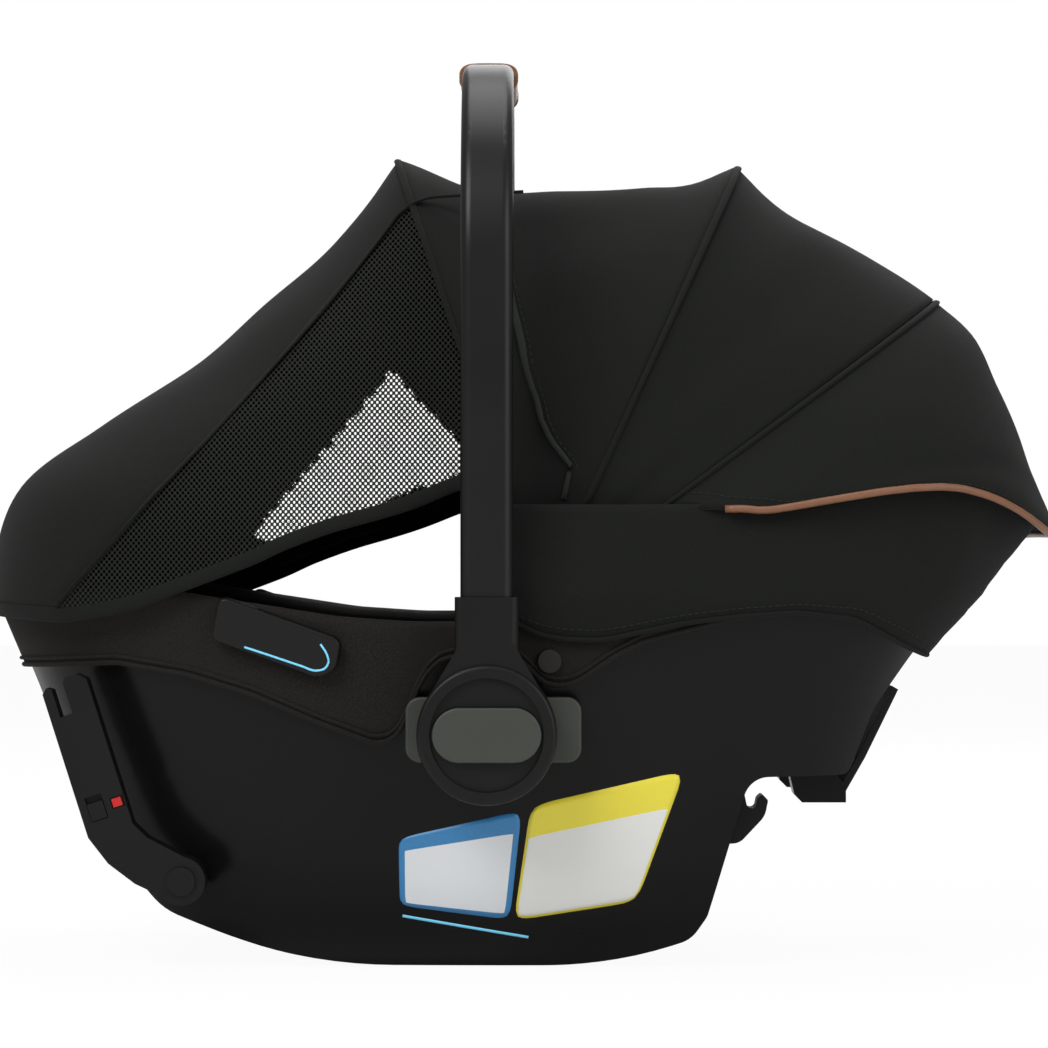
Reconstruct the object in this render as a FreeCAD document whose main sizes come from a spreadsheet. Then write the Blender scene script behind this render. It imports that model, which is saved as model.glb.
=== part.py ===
import FreeCAD, Part
import math
import os
from functools import lru_cache

import Sketcher
from FreeCAD import Placement, Rotation, Vector

os.makedirs("parts", exist_ok=True)
doc = FreeCAD.newDocument("infant_carrier")
sheet = doc.addObject("Spreadsheet::Sheet", "dims")

# Frame: +X to the head end, +Z up, the child's left side at -Y.
# The origin is the middle of the flat patch that the rocker stands on.
DIMENSIONS = [
    ("clearance", 0.4, "gap between neighbouring pieces"),
    ("running", 0.05, "radial gap of a pin in its eye"),
    # carrier shell
    ("shell_wall", 4.0, "thickness of the moulded shell"),
    ("shell_half_width", 170.0, "half width of the shell at its widest height"),
    ("foot_reach", 339.0, "plan outline from its middle to the foot end, at that height"),
    ("head_reach", 300.0, "plan outline from its middle to the head end, at that height"),
    ("shell_centre_x", 27.0, "widest place of the plan outline"),
    ("widest_z", 235.0, "height at which the tub is widest"),
    ("side_draft", 0.14, "lean of the side walls"),
    ("plan_power", 3.0, "squareness of the plan outline"),
    ("tub_top_z", 330.0, "top of the shape that covers and skirts follow"),
    ("rocker_flat", 60.0, "half length of the flat patch under the rocker"),
    ("rocker_edge", 26.0, "how far the sides tuck in under the rocker"),
    ("rocker_edge_height", 60.0, "height over which they tuck in"),
    ("overhang_z", 121.0, "height of the step under the head end"),
    ("foot_rim_z", 243.0, "shell rim at the foot end"),
    ("waist_rim_z", 215.0, "shell rim beside the hubs"),
    ("head_rim_z", 284.0, "shell rim at the head end"),
    # soft lining
    ("liner_depth", 30.0, "thickness of the foam liner at the sides"),
    ("pad_thickness", 14.0, "thickness of the seat pad"),
    ("cover_thickness", 4.0, "fabric cover over the rim"),
    ("skirt_thickness", 3.5, "fabric skirt round the head end"),
    # carry handle
    ("hub_x", 7.6, "handle axis"),
    ("hub_z", 150.7, "height of the handle axis"),
    ("hub_radius", 43.0, "round cover of the hub"),
    ("hub_inner_y", 176.0, "inner face of the hub"),
    ("hub_outer_y", 213.0, "outer face of the hub"),
    ("hub_recess_radius", 35.0, "dished face inside the hub's rim"),
    ("hub_recess", 4.0, "depth of the dished face"),
    ("handle_button_length", 67.0, "release button across"),
    ("handle_button_height", 33.8, "release button up and down"),
    ("handle_button_depth", 13.0, "thickness of the release button"),
    ("handle_button_travel", 5.0, "how far the button presses in"),
    ("handle_button_proud", 2.0, "how far the button stands out of the hub"),
    ("pivot_radius", 9.0, "handle pivot shaft"),
    ("tube_width", 32.5, "flat oval handle tube, along the carrier"),
    ("tube_thickness", 13.0, "flat oval handle tube, across"),
    ("tube_y", 200.0, "middle of the tube's legs"),
    ("tube_top_z", 568.0, "middle of the tube's crossbar"),
    ("tube_bend", 128.0, "radius of the tube's upper bends"),
    ("collar_width", 39.3, "socket that holds the tube"),
    ("collar_thickness", 19.0, "socket across the tube"),
    ("collar_top_z", 235.0, "top of the socket"),
    ("collar_low_z", 193.0, "where the socket flares into the hub"),
    ("socket_depth", 34.0, "length of tube inside the socket"),
    ("grip_thickness", 2.4, "leather round the crossbar"),
    ("grip_half_length", 62.0, "half length of the leather"),
    # stroller adapter plates
    ("adapter_thickness", 8.0, "plate between shell and hub"),
    ("adapter_low_z", 132.0, "lower edge of the plate"),
    ("adapter_high_z", 172.5, "upper edge of the plate"),
    ("adapter_foot_x", -43.0, "foot end of the plate"),
    ("adapter_head_x", 66.0, "head end of the plate"),
    # rigid lower anchors
    ("anchor_y", 140.0, "middle plane of an anchor arm"),
    ("anchor_thickness", 21.0, "thickness of an anchor arm"),
    ("anchor_pivot_x", -184.0, "arm pivot"),
    ("anchor_pivot_z", 56.5, "height of the arm pivot"),
    ("anchor_eye", 15.2, "radius of the arm's round end"),
    ("anchor_pin", 6.0, "radius of the pivot pin"),
    ("anchor_lean", 17.7, "lean of the connector from upright"),
    ("connector_width", 29.2, "connector across"),
    ("connector_length", 97.0, "connector from its root to its tips"),
    ("jaw_slot", 8.0, "slot for the 6 mm anchor bar"),
    ("jaw_slot_depth", 20.0, "depth of that slot"),
    # canopy
    ("canopy_x", 43.0, "pivot of the canopy bows"),
    ("canopy_z", 236.0, "height of the canopy pivot"),
    ("bow_thickness", 3.0, "flat canopy bow"),
    ("bow_width", 5.0, "flat canopy bow, along the fabric"),
    ("bow_pin", 4.0, "radius of the canopy pin"),
    ("fabric", 3.0, "thickness of the canopy fabric with its lining"),
    ("front_angle", 108.5, "front bow from the head end"),
    ("middle_angle", 65.5, "middle bow"),
    ("rear_angle", 36.5, "rear bow"),
    ("front_radius", 297.5, "reach of the canopy at the front bow"),
    ("middle_radius", 305.0, "reach at the middle bow"),
    ("rear_radius", 319.5, "reach at the rear bow"),
    ("flap_radius", 334.0, "reach of the flap's tip"),
    ("flap_angle", 8.0, "direction of the flap's tip"),
    ("drape_radius", 355.0, "reach of the sunshade at the foot end"),
    ("drape_angle", 177.0, "direction of the sunshade's lowest edge"),
    # belt guides
    ("guide_length", 84.0, "belt guide cover"),
    ("guide_height", 28.0, "belt guide cover"),
    ("guide_tilt", 20.0, "slope of the belt guide"),
    ("guide_x", -123.0, "middle of the belt guide"),
    ("guide_z", 209.0, "middle of the belt guide"),
    # rear end
    ("lever_half_width", 62.0, "half width of the release lever"),
    # underside
    ("latch_bar", 5.0, "radius of the base latch bars"),
]


class Size(float):
    """A number that remembers the sheet expression it comes from."""

    def __new__(cls, number, text=None):
        made = super().__new__(cls, number)
        made.text = text if text is not None else repr(float(number))
        return made

    def joined(self, other, sign, number):
        other = other if isinstance(other, Size) else Size(other)
        return Size(number, f"({self.text} {sign} {other.text})")

    def __add__(self, other):
        return self.joined(other, "+", float(self) + float(other))

    def __sub__(self, other):
        return self.joined(other, "-", float(self) - float(other))

    def __mul__(self, other):
        return self.joined(other, "*", float(self) * float(other))

    def __truediv__(self, other):
        return self.joined(other, "/", float(self) / float(other))

    def __radd__(self, other):
        return Size(other) + self

    def __rsub__(self, other):
        return Size(other) - self

    def __rmul__(self, other):
        return Size(other) * self

    def __neg__(self):
        return Size(0.0) - self


class Dims:
    """The sheet's values by name."""


def fill_sheet():
    for row, (name, value, note) in enumerate(DIMENSIONS, 1):
        sheet.set(f"A{row}", name)
        sheet.set(f"B{row}", str(value))
        sheet.setAlias(f"B{row}", name)
        sheet.set(f"C{row}", note)
    doc.recompute()
    for name, _, _ in DIMENSIONS:
        setattr(Dims, name, Size(float(getattr(sheet, name)), f"dims.{name}"))


fill_sheet()
d = Dims
SIDES = (("left", -1), ("right", 1))
nodes = {}


# ---------------------------------------------------------------- helpers

def bind(thing, prop, size):
    """Ties one property to the sheet."""
    if isinstance(size, Size):
        thing.setExpression(prop, size.text)
    else:
        thing.setExpression(prop, repr(float(size)))


def place(thing, x=0.0, y=0.0, z=0.0, rotation=None):
    thing.Placement = Placement(Vector(x, y, z), rotation or Rotation())
    for axis, size in zip("xyz", (x, y, z)):
        bind(thing, f"Placement.Base.{axis}", size)


def span(side, inner, outer):
    """The low and high Y of something between two distances from the middle plane."""
    return (inner, outer) if side > 0 else (-outer, -inner)


def box(label, x, y, z):
    made = doc.addObject("Part::Box", label)
    for prop, (low, high) in zip(("Length", "Width", "Height"), (x, y, z)):
        bind(made, prop, high - low)
    place(made, x[0], y[0], z[0])
    return made


def rod(label, radius, axis, low, high, across):
    """A cylinder along X, Y or Z between two values, at the other two coordinates."""
    made = doc.addObject("Part::Cylinder", label)
    bind(made, "Radius", radius)
    bind(made, "Height", high - low)
    first, second = across
    if axis == "X":
        place(made, low, first, second, Rotation(Vector(0, 1, 0), 90))
    elif axis == "Y":
        place(made, first, low, second, Rotation(Vector(1, 0, 0), -90))
    else:
        place(made, first, second, low)
    return made


def boolean(kind, label, things):
    made = doc.addObject(kind, label)
    made.Shapes = things
    return made


def fuse(label, *things):
    return boolean("Part::MultiFuse", label, list(things))


def common(label, *things):
    return boolean("Part::MultiCommon", label, list(things))


def cut(label, base, *tools):
    made = doc.addObject("Part::Cut", label)
    made.Base = base
    made.Tool = tools[0] if len(tools) == 1 else fuse(label + "_tools", *tools)
    return made


def shaped(label, shape, x=0.0, y=0.0, z=0.0, rotation=None):
    """A sub-part whose shape is worked out from the sheet's values."""
    made = doc.addObject("Part::Feature", label)
    made.Shape = shape
    if rotation or x or y or z:
        made.Placement = Placement(Vector(x, y, z), rotation or Rotation())
    return made


def group(label, *things):
    """Several like pieces that stay separate solids in one sub-part."""
    made = doc.addObject("Part::Compound", label)
    made.Links = list(things)
    return made


def keep(name, thing):
    """Registers a finished sub-part under its own name."""
    thing.Label = name
    nodes[name] = thing
    return thing


def origin_plane(body, role):
    return next(f for f in body.Origin.OriginFeatures if f.Role == role)


def sketch_on(body, role, lift, name):
    sketch = body.newObject("Sketcher::SketchObject", name)
    sketch.AttachmentSupport = [(origin_plane(body, role), "")]
    sketch.MapMode = "FlatFace"
    sketch.AttachmentOffset = Placement(Vector(0, 0, float(lift)), Rotation())
    bind(sketch, "AttachmentOffset.Base.z", lift)
    return sketch


def tie(sketch, kind, index, point, size):
    """One coordinate of a sketch point, bound to the sheet."""
    if abs(float(size)) < 1e-9:
        axis = -2 if kind == "DistanceX" else -1
        sketch.addConstraint(Sketcher.Constraint("PointOnObject", index, point, axis))
        return
    row = sketch.addConstraint(Sketcher.Constraint(kind, -1, 1, index, point, float(size)))
    if isinstance(size, Size):
        sketch.setExpression(f"Constraints[{row}]", size.text)


def draw_polygon(sketch, corners):
    count = len(corners)
    for i in range(count):
        (x0, y0), (x1, y1) = corners[i], corners[(i + 1) % count]
        start, end = Vector(float(x0), float(y0), 0), Vector(float(x1), float(y1), 0)
        sketch.addGeometry(Part.LineSegment(start, end), False)
    for i in range(count):
        sketch.addConstraint(Sketcher.Constraint("Coincident", i, 2, (i + 1) % count, 1))
    for i, (x, y) in enumerate(corners):
        tie(sketch, "DistanceX", i, 1, x)
        tie(sketch, "DistanceY", i, 1, y)


def draw_circle(sketch, x, y, radius):
    centre = Vector(float(x), float(y), 0)
    index = sketch.addGeometry(Part.Circle(centre, Vector(0, 0, 1), float(radius)), False)
    row = sketch.addConstraint(Sketcher.Constraint("Radius", index, float(radius)))
    if isinstance(radius, Size):
        sketch.setExpression(f"Constraints[{row}]", radius.text)
    tie(sketch, "DistanceX", index, 3, x)
    tie(sketch, "DistanceY", index, 3, y)


PLANES = {"XZ": "XZ_Plane", "YZ": "YZ_Plane", "XY": "XY_Plane"}


def lift_and_length(plane, low, high):
    return (-high if plane == "XZ" else low), high - low


def prism(label, plane, corners, low, high):
    """A body padded from a straight-sided profile, between two values along the plane's normal."""
    body = doc.addObject("PartDesign::Body", label)
    lift, length = lift_and_length(plane, low, high)
    sketch = sketch_on(body, PLANES[plane], lift, label + "_profile")
    draw_polygon(sketch, corners)
    pad = body.newObject("PartDesign::Pad", label + "_pad")
    pad.Profile = sketch
    bind(pad, "Length", length)
    doc.recompute()
    return body


def disc(label, plane, x, y, radius, low, high):
    body = doc.addObject("PartDesign::Body", label)
    lift, length = lift_and_length(plane, low, high)
    sketch = sketch_on(body, PLANES[plane], lift, label + "_profile")
    draw_circle(sketch, x, y, radius)
    pad = body.newObject("PartDesign::Pad", label + "_pad")
    pad.Profile = sketch
    bind(pad, "Length", length)
    doc.recompute()
    return body


def pocket(body, plane, corners, low, high, name="recess"):
    """Cuts a straight-sided recess out of a body, between two values along the plane's normal."""
    lift, length = lift_and_length(plane, low, high)
    sketch = sketch_on(body, PLANES[plane], lift, f"{body.Name}_{name}_profile")
    if len(corners) == 3 and not isinstance(corners[0], tuple):
        draw_circle(sketch, *corners)
    else:
        draw_polygon(sketch, corners)
    before = body.Shape.Volume
    made = body.newObject("PartDesign::Pocket", f"{body.Name}_{name}")
    made.Profile = sketch
    made.Reversed = True
    bind(made, "Length", length)
    doc.recompute()
    if not body.Shape.Volume < before - 1e-3:
        raise ValueError(f"{made.Name} cuts nothing")
    return body


def dress(body, kind, size, chosen):
    """Rounds or chamfers the edges of the body's last feature that the test chooses."""
    base = body.Tip
    names = [f"Edge{i}" for i, edge in enumerate(base.Shape.Edges, 1) if chosen(edge)]
    if not names:
        raise ValueError(f"{body.Name} has no edge to dress")
    made = body.newObject(f"PartDesign::{kind}", f"{body.Name}_{kind.lower()}")
    made.Base = (base, names)
    bind(made, "Radius" if kind == "Fillet" else "Size", size)
    body.Tip = made
    doc.recompute()
    return body


def along(axis):
    """Chooses straight edges along X, Y or Z."""
    unit = {"X": Vector(1, 0, 0), "Y": Vector(0, 1, 0), "Z": Vector(0, 0, 1)}[axis]

    def chosen(edge):
        if not isinstance(edge.Curve, Part.Line):
            return False
        return abs(edge.Curve.Direction.dot(unit)) > 0.999

    return chosen


def at_level(axis, value):
    """Chooses edges that lie wholly at one value of a coordinate."""
    index = "XYZ".index(axis)

    def chosen(edge):
        box_ = edge.BoundBox
        low = (box_.XMin, box_.YMin, box_.ZMin)[index]
        high = (box_.XMax, box_.YMax, box_.ZMax)[index]
        return abs(low - float(value)) < 1e-4 and abs(high - float(value)) < 1e-4

    return chosen


# ------------------------------------------------- free-form outlines

def rounded_wire(points, y=0.0):
    """A closed XZ outline of (x, z, corner radius), its corners as tangent arcs."""
    count = len(points)
    starts, middles, ends = [], [], []
    for i, (x, z, radius) in enumerate(points):
        here = Vector(x, y, z)
        back = (Vector(points[i - 1][0], y, points[i - 1][1]) - here).normalize()
        ahead = (Vector(points[(i + 1) % count][0], y, points[(i + 1) % count][1]) - here).normalize()
        half = back.getAngle(ahead) / 2.0
        reach = radius / math.tan(half)
        inward = (back + ahead).normalize() if radius else Vector()
        starts.append(here + back * reach)
        middles.append(here + inward * (radius / math.sin(half) - radius))
        ends.append(here + ahead * reach)
    for i in range(count):
        side = Vector(points[(i + 1) % count][0], y, points[(i + 1) % count][1]) - Vector(points[i][0], y, points[i][1])
        if (starts[(i + 1) % count] - ends[i]).dot(side) < 0:
            raise ValueError(f"the corners at {points[i]} and after it overlap")
    edges = []
    for i in range(count):
        if points[i][2]:
            edges.append(Part.Arc(starts[i], middles[i], ends[i]).toShape())
        edges.append(Part.LineSegment(ends[i], starts[(i + 1) % count]).toShape())
    return Part.Wire(edges)


def grown(points, grow):
    """The same outline moved outward by a distance, its rounded corners staying concentric."""
    count = len(points)
    places = [Vector(x, 0, z) for x, z, _ in points]
    turns = [(places[i] - places[i - 1]).cross(places[(i + 1) % count] - places[i]).y for i in range(count)]
    area = sum(places[i - 1].cross(places[i]).y for i in range(count))
    outward = math.copysign(1.0, area)
    moved = []
    for i in range(count):
        back = (places[i] - places[i - 1]).normalize()
        ahead = (places[(i + 1) % count] - places[i]).normalize()
        normal_back, normal_ahead = (Vector(-way.z, 0, way.x) * outward for way in (back, ahead))
        middle = normal_back + normal_ahead
        corner = places[i] + middle * (2 * grow / middle.dot(middle))
        bulge = 1.0 if turns[i] * outward > 0 else -1.0
        radius = max(points[i][2] + bulge * grow, 0.0) if points[i][2] else 0.0
        moved.append((corner.x, corner.z, radius))
    return moved


def slab(points, low, high, grow=0.0):
    """An XZ outline, grown or shrunk, extruded from one Y to another."""
    outline = grown(points, float(grow)) if grow else points
    face = Part.Face(rounded_wire(outline, float(low)))
    return face.extrude(Vector(0, float(high) - float(low), 0))


def along_points(points, z):
    """Straight-line interpolation in a short list of (z, value)."""
    for (z0, a), (z1, b) in zip(points, points[1:]):
        if z <= z1:
            return a + (b - a) * (z - z0) / (z1 - z0)
    return points[-1][1]


def end_reaches():
    """How far the plan outline reaches to the foot end and to the head end, by height."""
    foot, head = d.foot_reach, d.head_reach
    to_foot = [(-40, foot - 112), (34, foot - 86), (82, foot - 57), (180, foot - 20), (235, foot), (340, foot + 8)]
    to_head = [(-40, head - 118), (70, head - 96), (124, head - 52), (163, head - 46), (197, head - 28),
               (235, head), (340, head + 74)]
    return to_foot, to_head


def plan_wire(z, grow):
    """The tub's rounded plan outline at one height: it leans in below and above its widest height."""
    below = max(d.widest_z - z, 0.0)
    above = max(z - d.widest_z, 0.0)
    tuck = d.rocker_edge * max(1.0 - z / d.rocker_edge_height, 0.0) ** 2
    to_foot, to_head = end_reaches()
    foot, head = along_points(to_foot, z) + grow, along_points(to_head, z) + grow
    half_wide = d.shell_half_width - d.side_draft * (below + above) - tuck + grow
    points = []
    steps = 20
    for i in range(steps):
        angle = 2 * math.pi * (i + 0.5) / steps
        share_x = math.copysign(abs(math.cos(angle)) ** (2 / d.plan_power), math.cos(angle))
        share_y = math.copysign(abs(math.sin(angle)) ** (2 / d.plan_power), math.sin(angle))
        reach = head if share_x > 0 else foot
        points.append(Vector(d.shell_centre_x + reach * share_x, half_wide * share_y, z))
    curve = Part.BSplineCurve()
    curve.interpolate(Points=points, PeriodicFlag=True)
    return Part.Wire(curve.toShape())


def tub_sides(grow):
    """The upright walls that the shell, its covers and its lining all follow."""
    low = [d.rocker_edge_height * share for share in (-0.5, 0.1, 0.5, 1.1)]
    high = [d.widest_z * share for share in (0.45, 0.62, 0.8, 1.0)]
    levels = [float(z) for z in low + high] + [float(d.tub_top_z)]
    return Part.makeLoft([plan_wire(z, grow) for z in levels], True, False)


HALF = 260.0  # reach of a tool across the carrier


def tub_outline():
    """Side outline of rocker, foot wall, step and head wall, up to the tub's top."""
    top = d.tub_top_z
    return [
        (-308, top, 0),
        (-303, 226, 60),
        (-283, 180, 50),
        (-243, 82, 60),
        (-200, 34, 40),
        (-158, 19, 120),
        (-d.rocker_flat - 40, 0, 300),
        (d.rocker_flat + 24, 0, 260),
        (136, 17, 20),
        (146, 32, 14),
        (172, d.overhang_z, 16),
        (236, d.overhang_z, 9),
        (252, 163, 40),
        (277, 197, 60),
        (313, 236, 80),
        (392, top, 0),
    ]


def rim_outline(lift):
    """Everything below the shell's rim, or below a line that follows it."""
    return [
        (-420, d.foot_rim_z + lift, 0),
        (-250, d.foot_rim_z + lift, 60),
        (-60, d.waist_rim_z + lift, 90),
        (90, d.waist_rim_z + lift, 90),
        (240, 262 + lift, 120),
        (330, d.head_rim_z + lift, 60),
        (430, d.head_rim_z + lift, 0),
        (430, -60, 0),
        (-420, -60, 0),
    ]


@lru_cache(maxsize=None)
def tub(grow):
    return tub_sides(grow).common(slab(tub_outline(), -HALF, HALF, grow))


def tub_to_rim(grow, lift=None):
    below = slab(rim_outline(grow if lift is None else lift), -HALF, HALF)
    return tub(grow).common(below)


def seat_outline():
    """Side outline of the hollow that the child lies in, before the pad goes in."""
    top = d.tub_top_z + 80
    return [
        (-300, top, 0),
        (-276, 232, 60),
        (-226, 152, 70),
        (-150, 112, 90),
        (-40, 92, 120),
        (60, 100, 120),
        (150, 140, 120),
        (232, 196, 120),
        (296, 262, 90),
        (360, top, 0),
    ]


@lru_cache(maxsize=None)
def seat_hollow(depth):
    """The seat's hollow, shrunk by a depth."""
    return tub_sides(-d.liner_depth - depth).common(slab(seat_outline(), -HALF, HALF, -depth))


def brick(x, y, z):
    """A plain box shape between two values on each axis."""
    size = [float(high) - float(low) for low, high in (x, y, z)]
    return Part.makeBox(*size, Vector(float(x[0]), float(y[0]), float(z[0])))


def pin(radius, x, z, low, high):
    """A plain cylinder shape along Y."""
    return Part.makeCylinder(float(radius), float(high) - float(low), Vector(x, low, z), Vector(0, 1, 0))


def layer(near, far, x, y):
    """A sheet that lies in the seat between two depths below its foam, trimmed in plan."""
    block = brick(x, y, (0, d.tub_top_z))
    return block.common(seat_hollow(near)).cut(seat_hollow(far))


# ------------------------------------------------------ carrier shell

HUB_BOSS = 14.5  # radius of the boss round the handle pivot
BAY_MARGIN = 1.8  # air between an anchor arm and its bay
ANCHOR_BOSS_Y = 106.0  # inner end of the boss that carries an arm's pin
BAR_X = (-72.0, 72.0)  # the base latch bars along the carrier
BAR_SLOT = (11.0, 58.0, 24.0)  # half length, half width and depth of a latch slot


def bay_outline():
    """The recess in the shell's side that an anchor arm folds into."""
    x, z = d.anchor_pivot_x, d.anchor_pivot_z
    return [
        (x - 200, z - 70, 0),
        (x + 16, z - 70, 0),
        (x + 24, z - 32, 12),
        (x + 19, z + 10, 14),
        (x - 14, z + 36, 20),
        (x - 28, z + 62, 20),
        (x - 54, z + 150, 0),
        (x - 200, z + 150, 0),
    ]


def anchor_bay(side, grow):
    inner = d.anchor_y - d.anchor_thickness / 2 - BAY_MARGIN - grow
    return slab(bay_outline(), *span(side, inner, HALF), grow)


def latch_slot(x, grow):
    half_x, half_y, depth = BAR_SLOT
    return brick((x - half_x - grow, x + half_x + grow), (-half_y - grow, half_y + grow), (-20, depth + grow))


def latch_bar_z():
    return BAR_SLOT[2] - d.latch_bar - 7.0


def shell_recesses(grow):
    bays = [anchor_bay(side, grow) for _, side in SIDES]
    return bays + [latch_slot(x, grow) for x in BAR_X]


def build_shell():
    outer = tub_to_rim(0.0)
    cavity = tub(-float(d.shell_wall))
    for recess in shell_recesses(d.shell_wall):
        cavity = cavity.cut(recess)
    shape = outer.cut(cavity)
    for recess in shell_recesses(0.0):
        shape = shape.cut(recess)
    inside = d.shell_half_width - d.side_draft * (d.widest_z - d.hub_z) - d.shell_wall
    bosses = []
    for _, side in SIDES:
        face = d.hub_inner_y - d.clearance
        bosses.append(pin(HUB_BOSS, d.hub_x, d.hub_z, *span(side, inside + 3, face)))
        inner, outer_y = inside + 3, face - d.adapter_thickness - d.clearance
        for x in (d.adapter_foot_x + 5, d.adapter_head_x - 15):
            rib_z = (d.adapter_low_z + 6, d.adapter_high_z - 6)
            bosses.append(brick((x, x + 10), span(side, inner, outer_y), rib_z))
        arm_face = d.anchor_y - d.anchor_thickness / 2 - d.clearance
        bosses.append(pin(d.anchor_pin + 6, d.anchor_pivot_x, d.anchor_pivot_z, *span(side, ANCHOR_BOSS_Y, arm_face)))
    shape = shape.fuse(bosses)
    holes = []
    for _, side in SIDES:
        holes.append(pin(d.pivot_radius + d.running, d.hub_x, d.hub_z, *span(side, inside - 8, HALF)))
        holes.append(pin(d.anchor_pin + d.running, d.anchor_pivot_x, d.anchor_pivot_z, *span(side, 100, HALF)))
    for x in BAR_X:
        reach = BAR_SLOT[1] + d.shell_wall - 1
        holes.append(pin(d.latch_bar + d.running, x, latch_bar_z(), -reach, reach))
    keep("shell", shaped("shell", shape.cut(holes)))


def build_latch_bars():
    reach = BAR_SLOT[1] + d.shell_wall - 1.2
    bars = [
        rod(f"latch_bar_{i}", d.latch_bar, "Y", -reach, reach, (x, latch_bar_z()))
        for i, x in enumerate(BAR_X)
    ]
    keep("base_latch_bars", group("base_latch_bars", *bars))


# -------------------------------------------------------- soft lining

FOAM_FLOOR = 32.0  # underside of the foam liner, above the latch slots
CHEEK_Y = 133.0  # inner face of the liner's side cheeks and of the bows' slots


def bow_slot(side):
    """The gap in lining and cover that the canopy bows and their mount stand in."""
    return brick((d.canopy_x - 22, d.canopy_x + 22), span(side, CHEEK_Y, 163.4), (186, 340))


def hem_outline():
    """Everything above the side cover's hem."""
    return [
        (-420, 186, 0),
        (-225, 193, 60),
        (-140, 174, 60),
        (-60, 140, 12),
        (-46, 150, 6),
        (-34, 182, 20),
        (-16, 198, 12),
        (26, 198, 12),
        (44, 178, 10),
        (64, 182, 10),
        (104, 208, 40),
        (150, 219, 40),
        (260, 240, 40),
        (330, 262, 0),
        (440, 262, 0),
        (440, 400, 0),
        (-420, 400, 0),
    ]


def largest(shape):
    return max(shape.Solids, key=lambda solid: solid.Volume)


def fabric_air(stations, outline):
    """The space of a stretched cloth, with air on both its faces and below its edge."""
    air = float(d.clearance) + 0.3
    wider = [(angle, reach + air, wide + air, power) for angle, reach, wide, power in stations]
    return fabric_span(wider, d.fabric + 2 * air).common(slab(outline, -HALF, HALF, air))


def foam_joints():
    """The thin gaps between the liner's side cheeks, its slots and its blocks along the seat."""
    half_gap = float(d.clearance) / 2
    gaps = [brick((x - half_gap, x + half_gap), (-HALF, HALF), (0, 420)) for x in (-150, 150, 250)]
    for _, side in SIDES:
        gaps.append(brick((-420, 420), span(side, CHEEK_Y - 2 * half_gap, CHEEK_Y), (0, 420)))
        for x in (d.canopy_x - 22, d.canopy_x + 22):
            gaps.append(brick((x - half_gap, x + half_gap), span(side, CHEEK_Y, HALF), (0, 420)))
    return gaps


def build_lining():
    foam = tub_to_rim(-float(d.shell_wall + 2 * d.clearance), -4.0).cut(seat_hollow(0.0))
    recesses = shell_recesses(d.shell_wall + 2 * d.clearance)
    for _, side in SIDES:
        recesses.append(bow_slot(side))
        recesses.append(pin(18, d.hub_x, d.hub_z, *span(side, 146, HALF)))
        recesses.append(pin(14, d.anchor_pivot_x, d.anchor_pivot_z, *span(side, 100, HALF)))
    recesses.append(brick((-HALF, HALF), (-HALF, HALF), (-FOAM_FLOOR, FOAM_FLOOR)))
    for recess in recesses + foam_joints():
        foam = foam.cut(recess)
    keep("foam_liner", shaped("foam_liner", foam))
    slots = [bow_slot(side) for _, side in SIDES]
    under_cover = slab(rim_outline(-6.0), -HALF, HALF)
    pad = seat_hollow(0.3).cut(seat_hollow(float(d.pad_thickness))).common(under_cover).cut(slots)
    keep("seat_pad", shaped("seat_pad", pad))
    grow = d.cover_thickness + 0.4
    cover = tub_to_rim(float(grow)).cut(tub_to_rim(float(d.clearance), 0.6))
    cover = cover.cut(seat_hollow(float(d.pad_thickness))).common(slab(hem_outline(), -HALF, HALF))
    cover = cover.cut(slots + [guide_base(side, 0.4) for _, side in SIDES])
    for stations, outline in ((drape_stations(), drape_outline()), (flap_stations(), flap_outline())):
        cover = largest(cover.cut(fabric_air(stations, outline)))
    keep("rim_cover", shaped("rim_cover", cover))


def skirt_outline():
    return [
        (27, 292, 0),
        (27, 226, 14),
        (46, 208, 20),
        (90, 208, 60),
        (160, 222, 60),
        (222, 226, 60),
        (262, 208, 40),
        (300, 186, 0),
        (440, 186, 0),
        (440, 284, 0),
        (354, 284, 0),
        (326, 312, 0),
        (288, 312, 0),
        (200, 292, 0),
    ]


def build_skirt():
    inner = d.cover_thickness + 0.4 + d.clearance
    ring = tub(float(inner + d.skirt_thickness)).cut(tub(float(inner)))
    skirt = ring.common(slab(skirt_outline(), -HALF, HALF))
    skirt = largest(skirt.cut(fabric_air(flap_stations(), flap_outline())))
    keep("head_skirt", shaped("head_skirt", skirt))
    cover = tub(float(d.cover_thickness + 0.4))
    snap_y = d.shell_half_width + 1.2
    snaps = [pin(7.2, 46.4, 194.7, *span(side, 160, snap_y)).cut(cover) for _, side in SIDES]
    keep("skirt_snaps", shaped("skirt_snaps", Part.makeCompound(snaps)))


# -------------------------------------------------------- seat details

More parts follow.
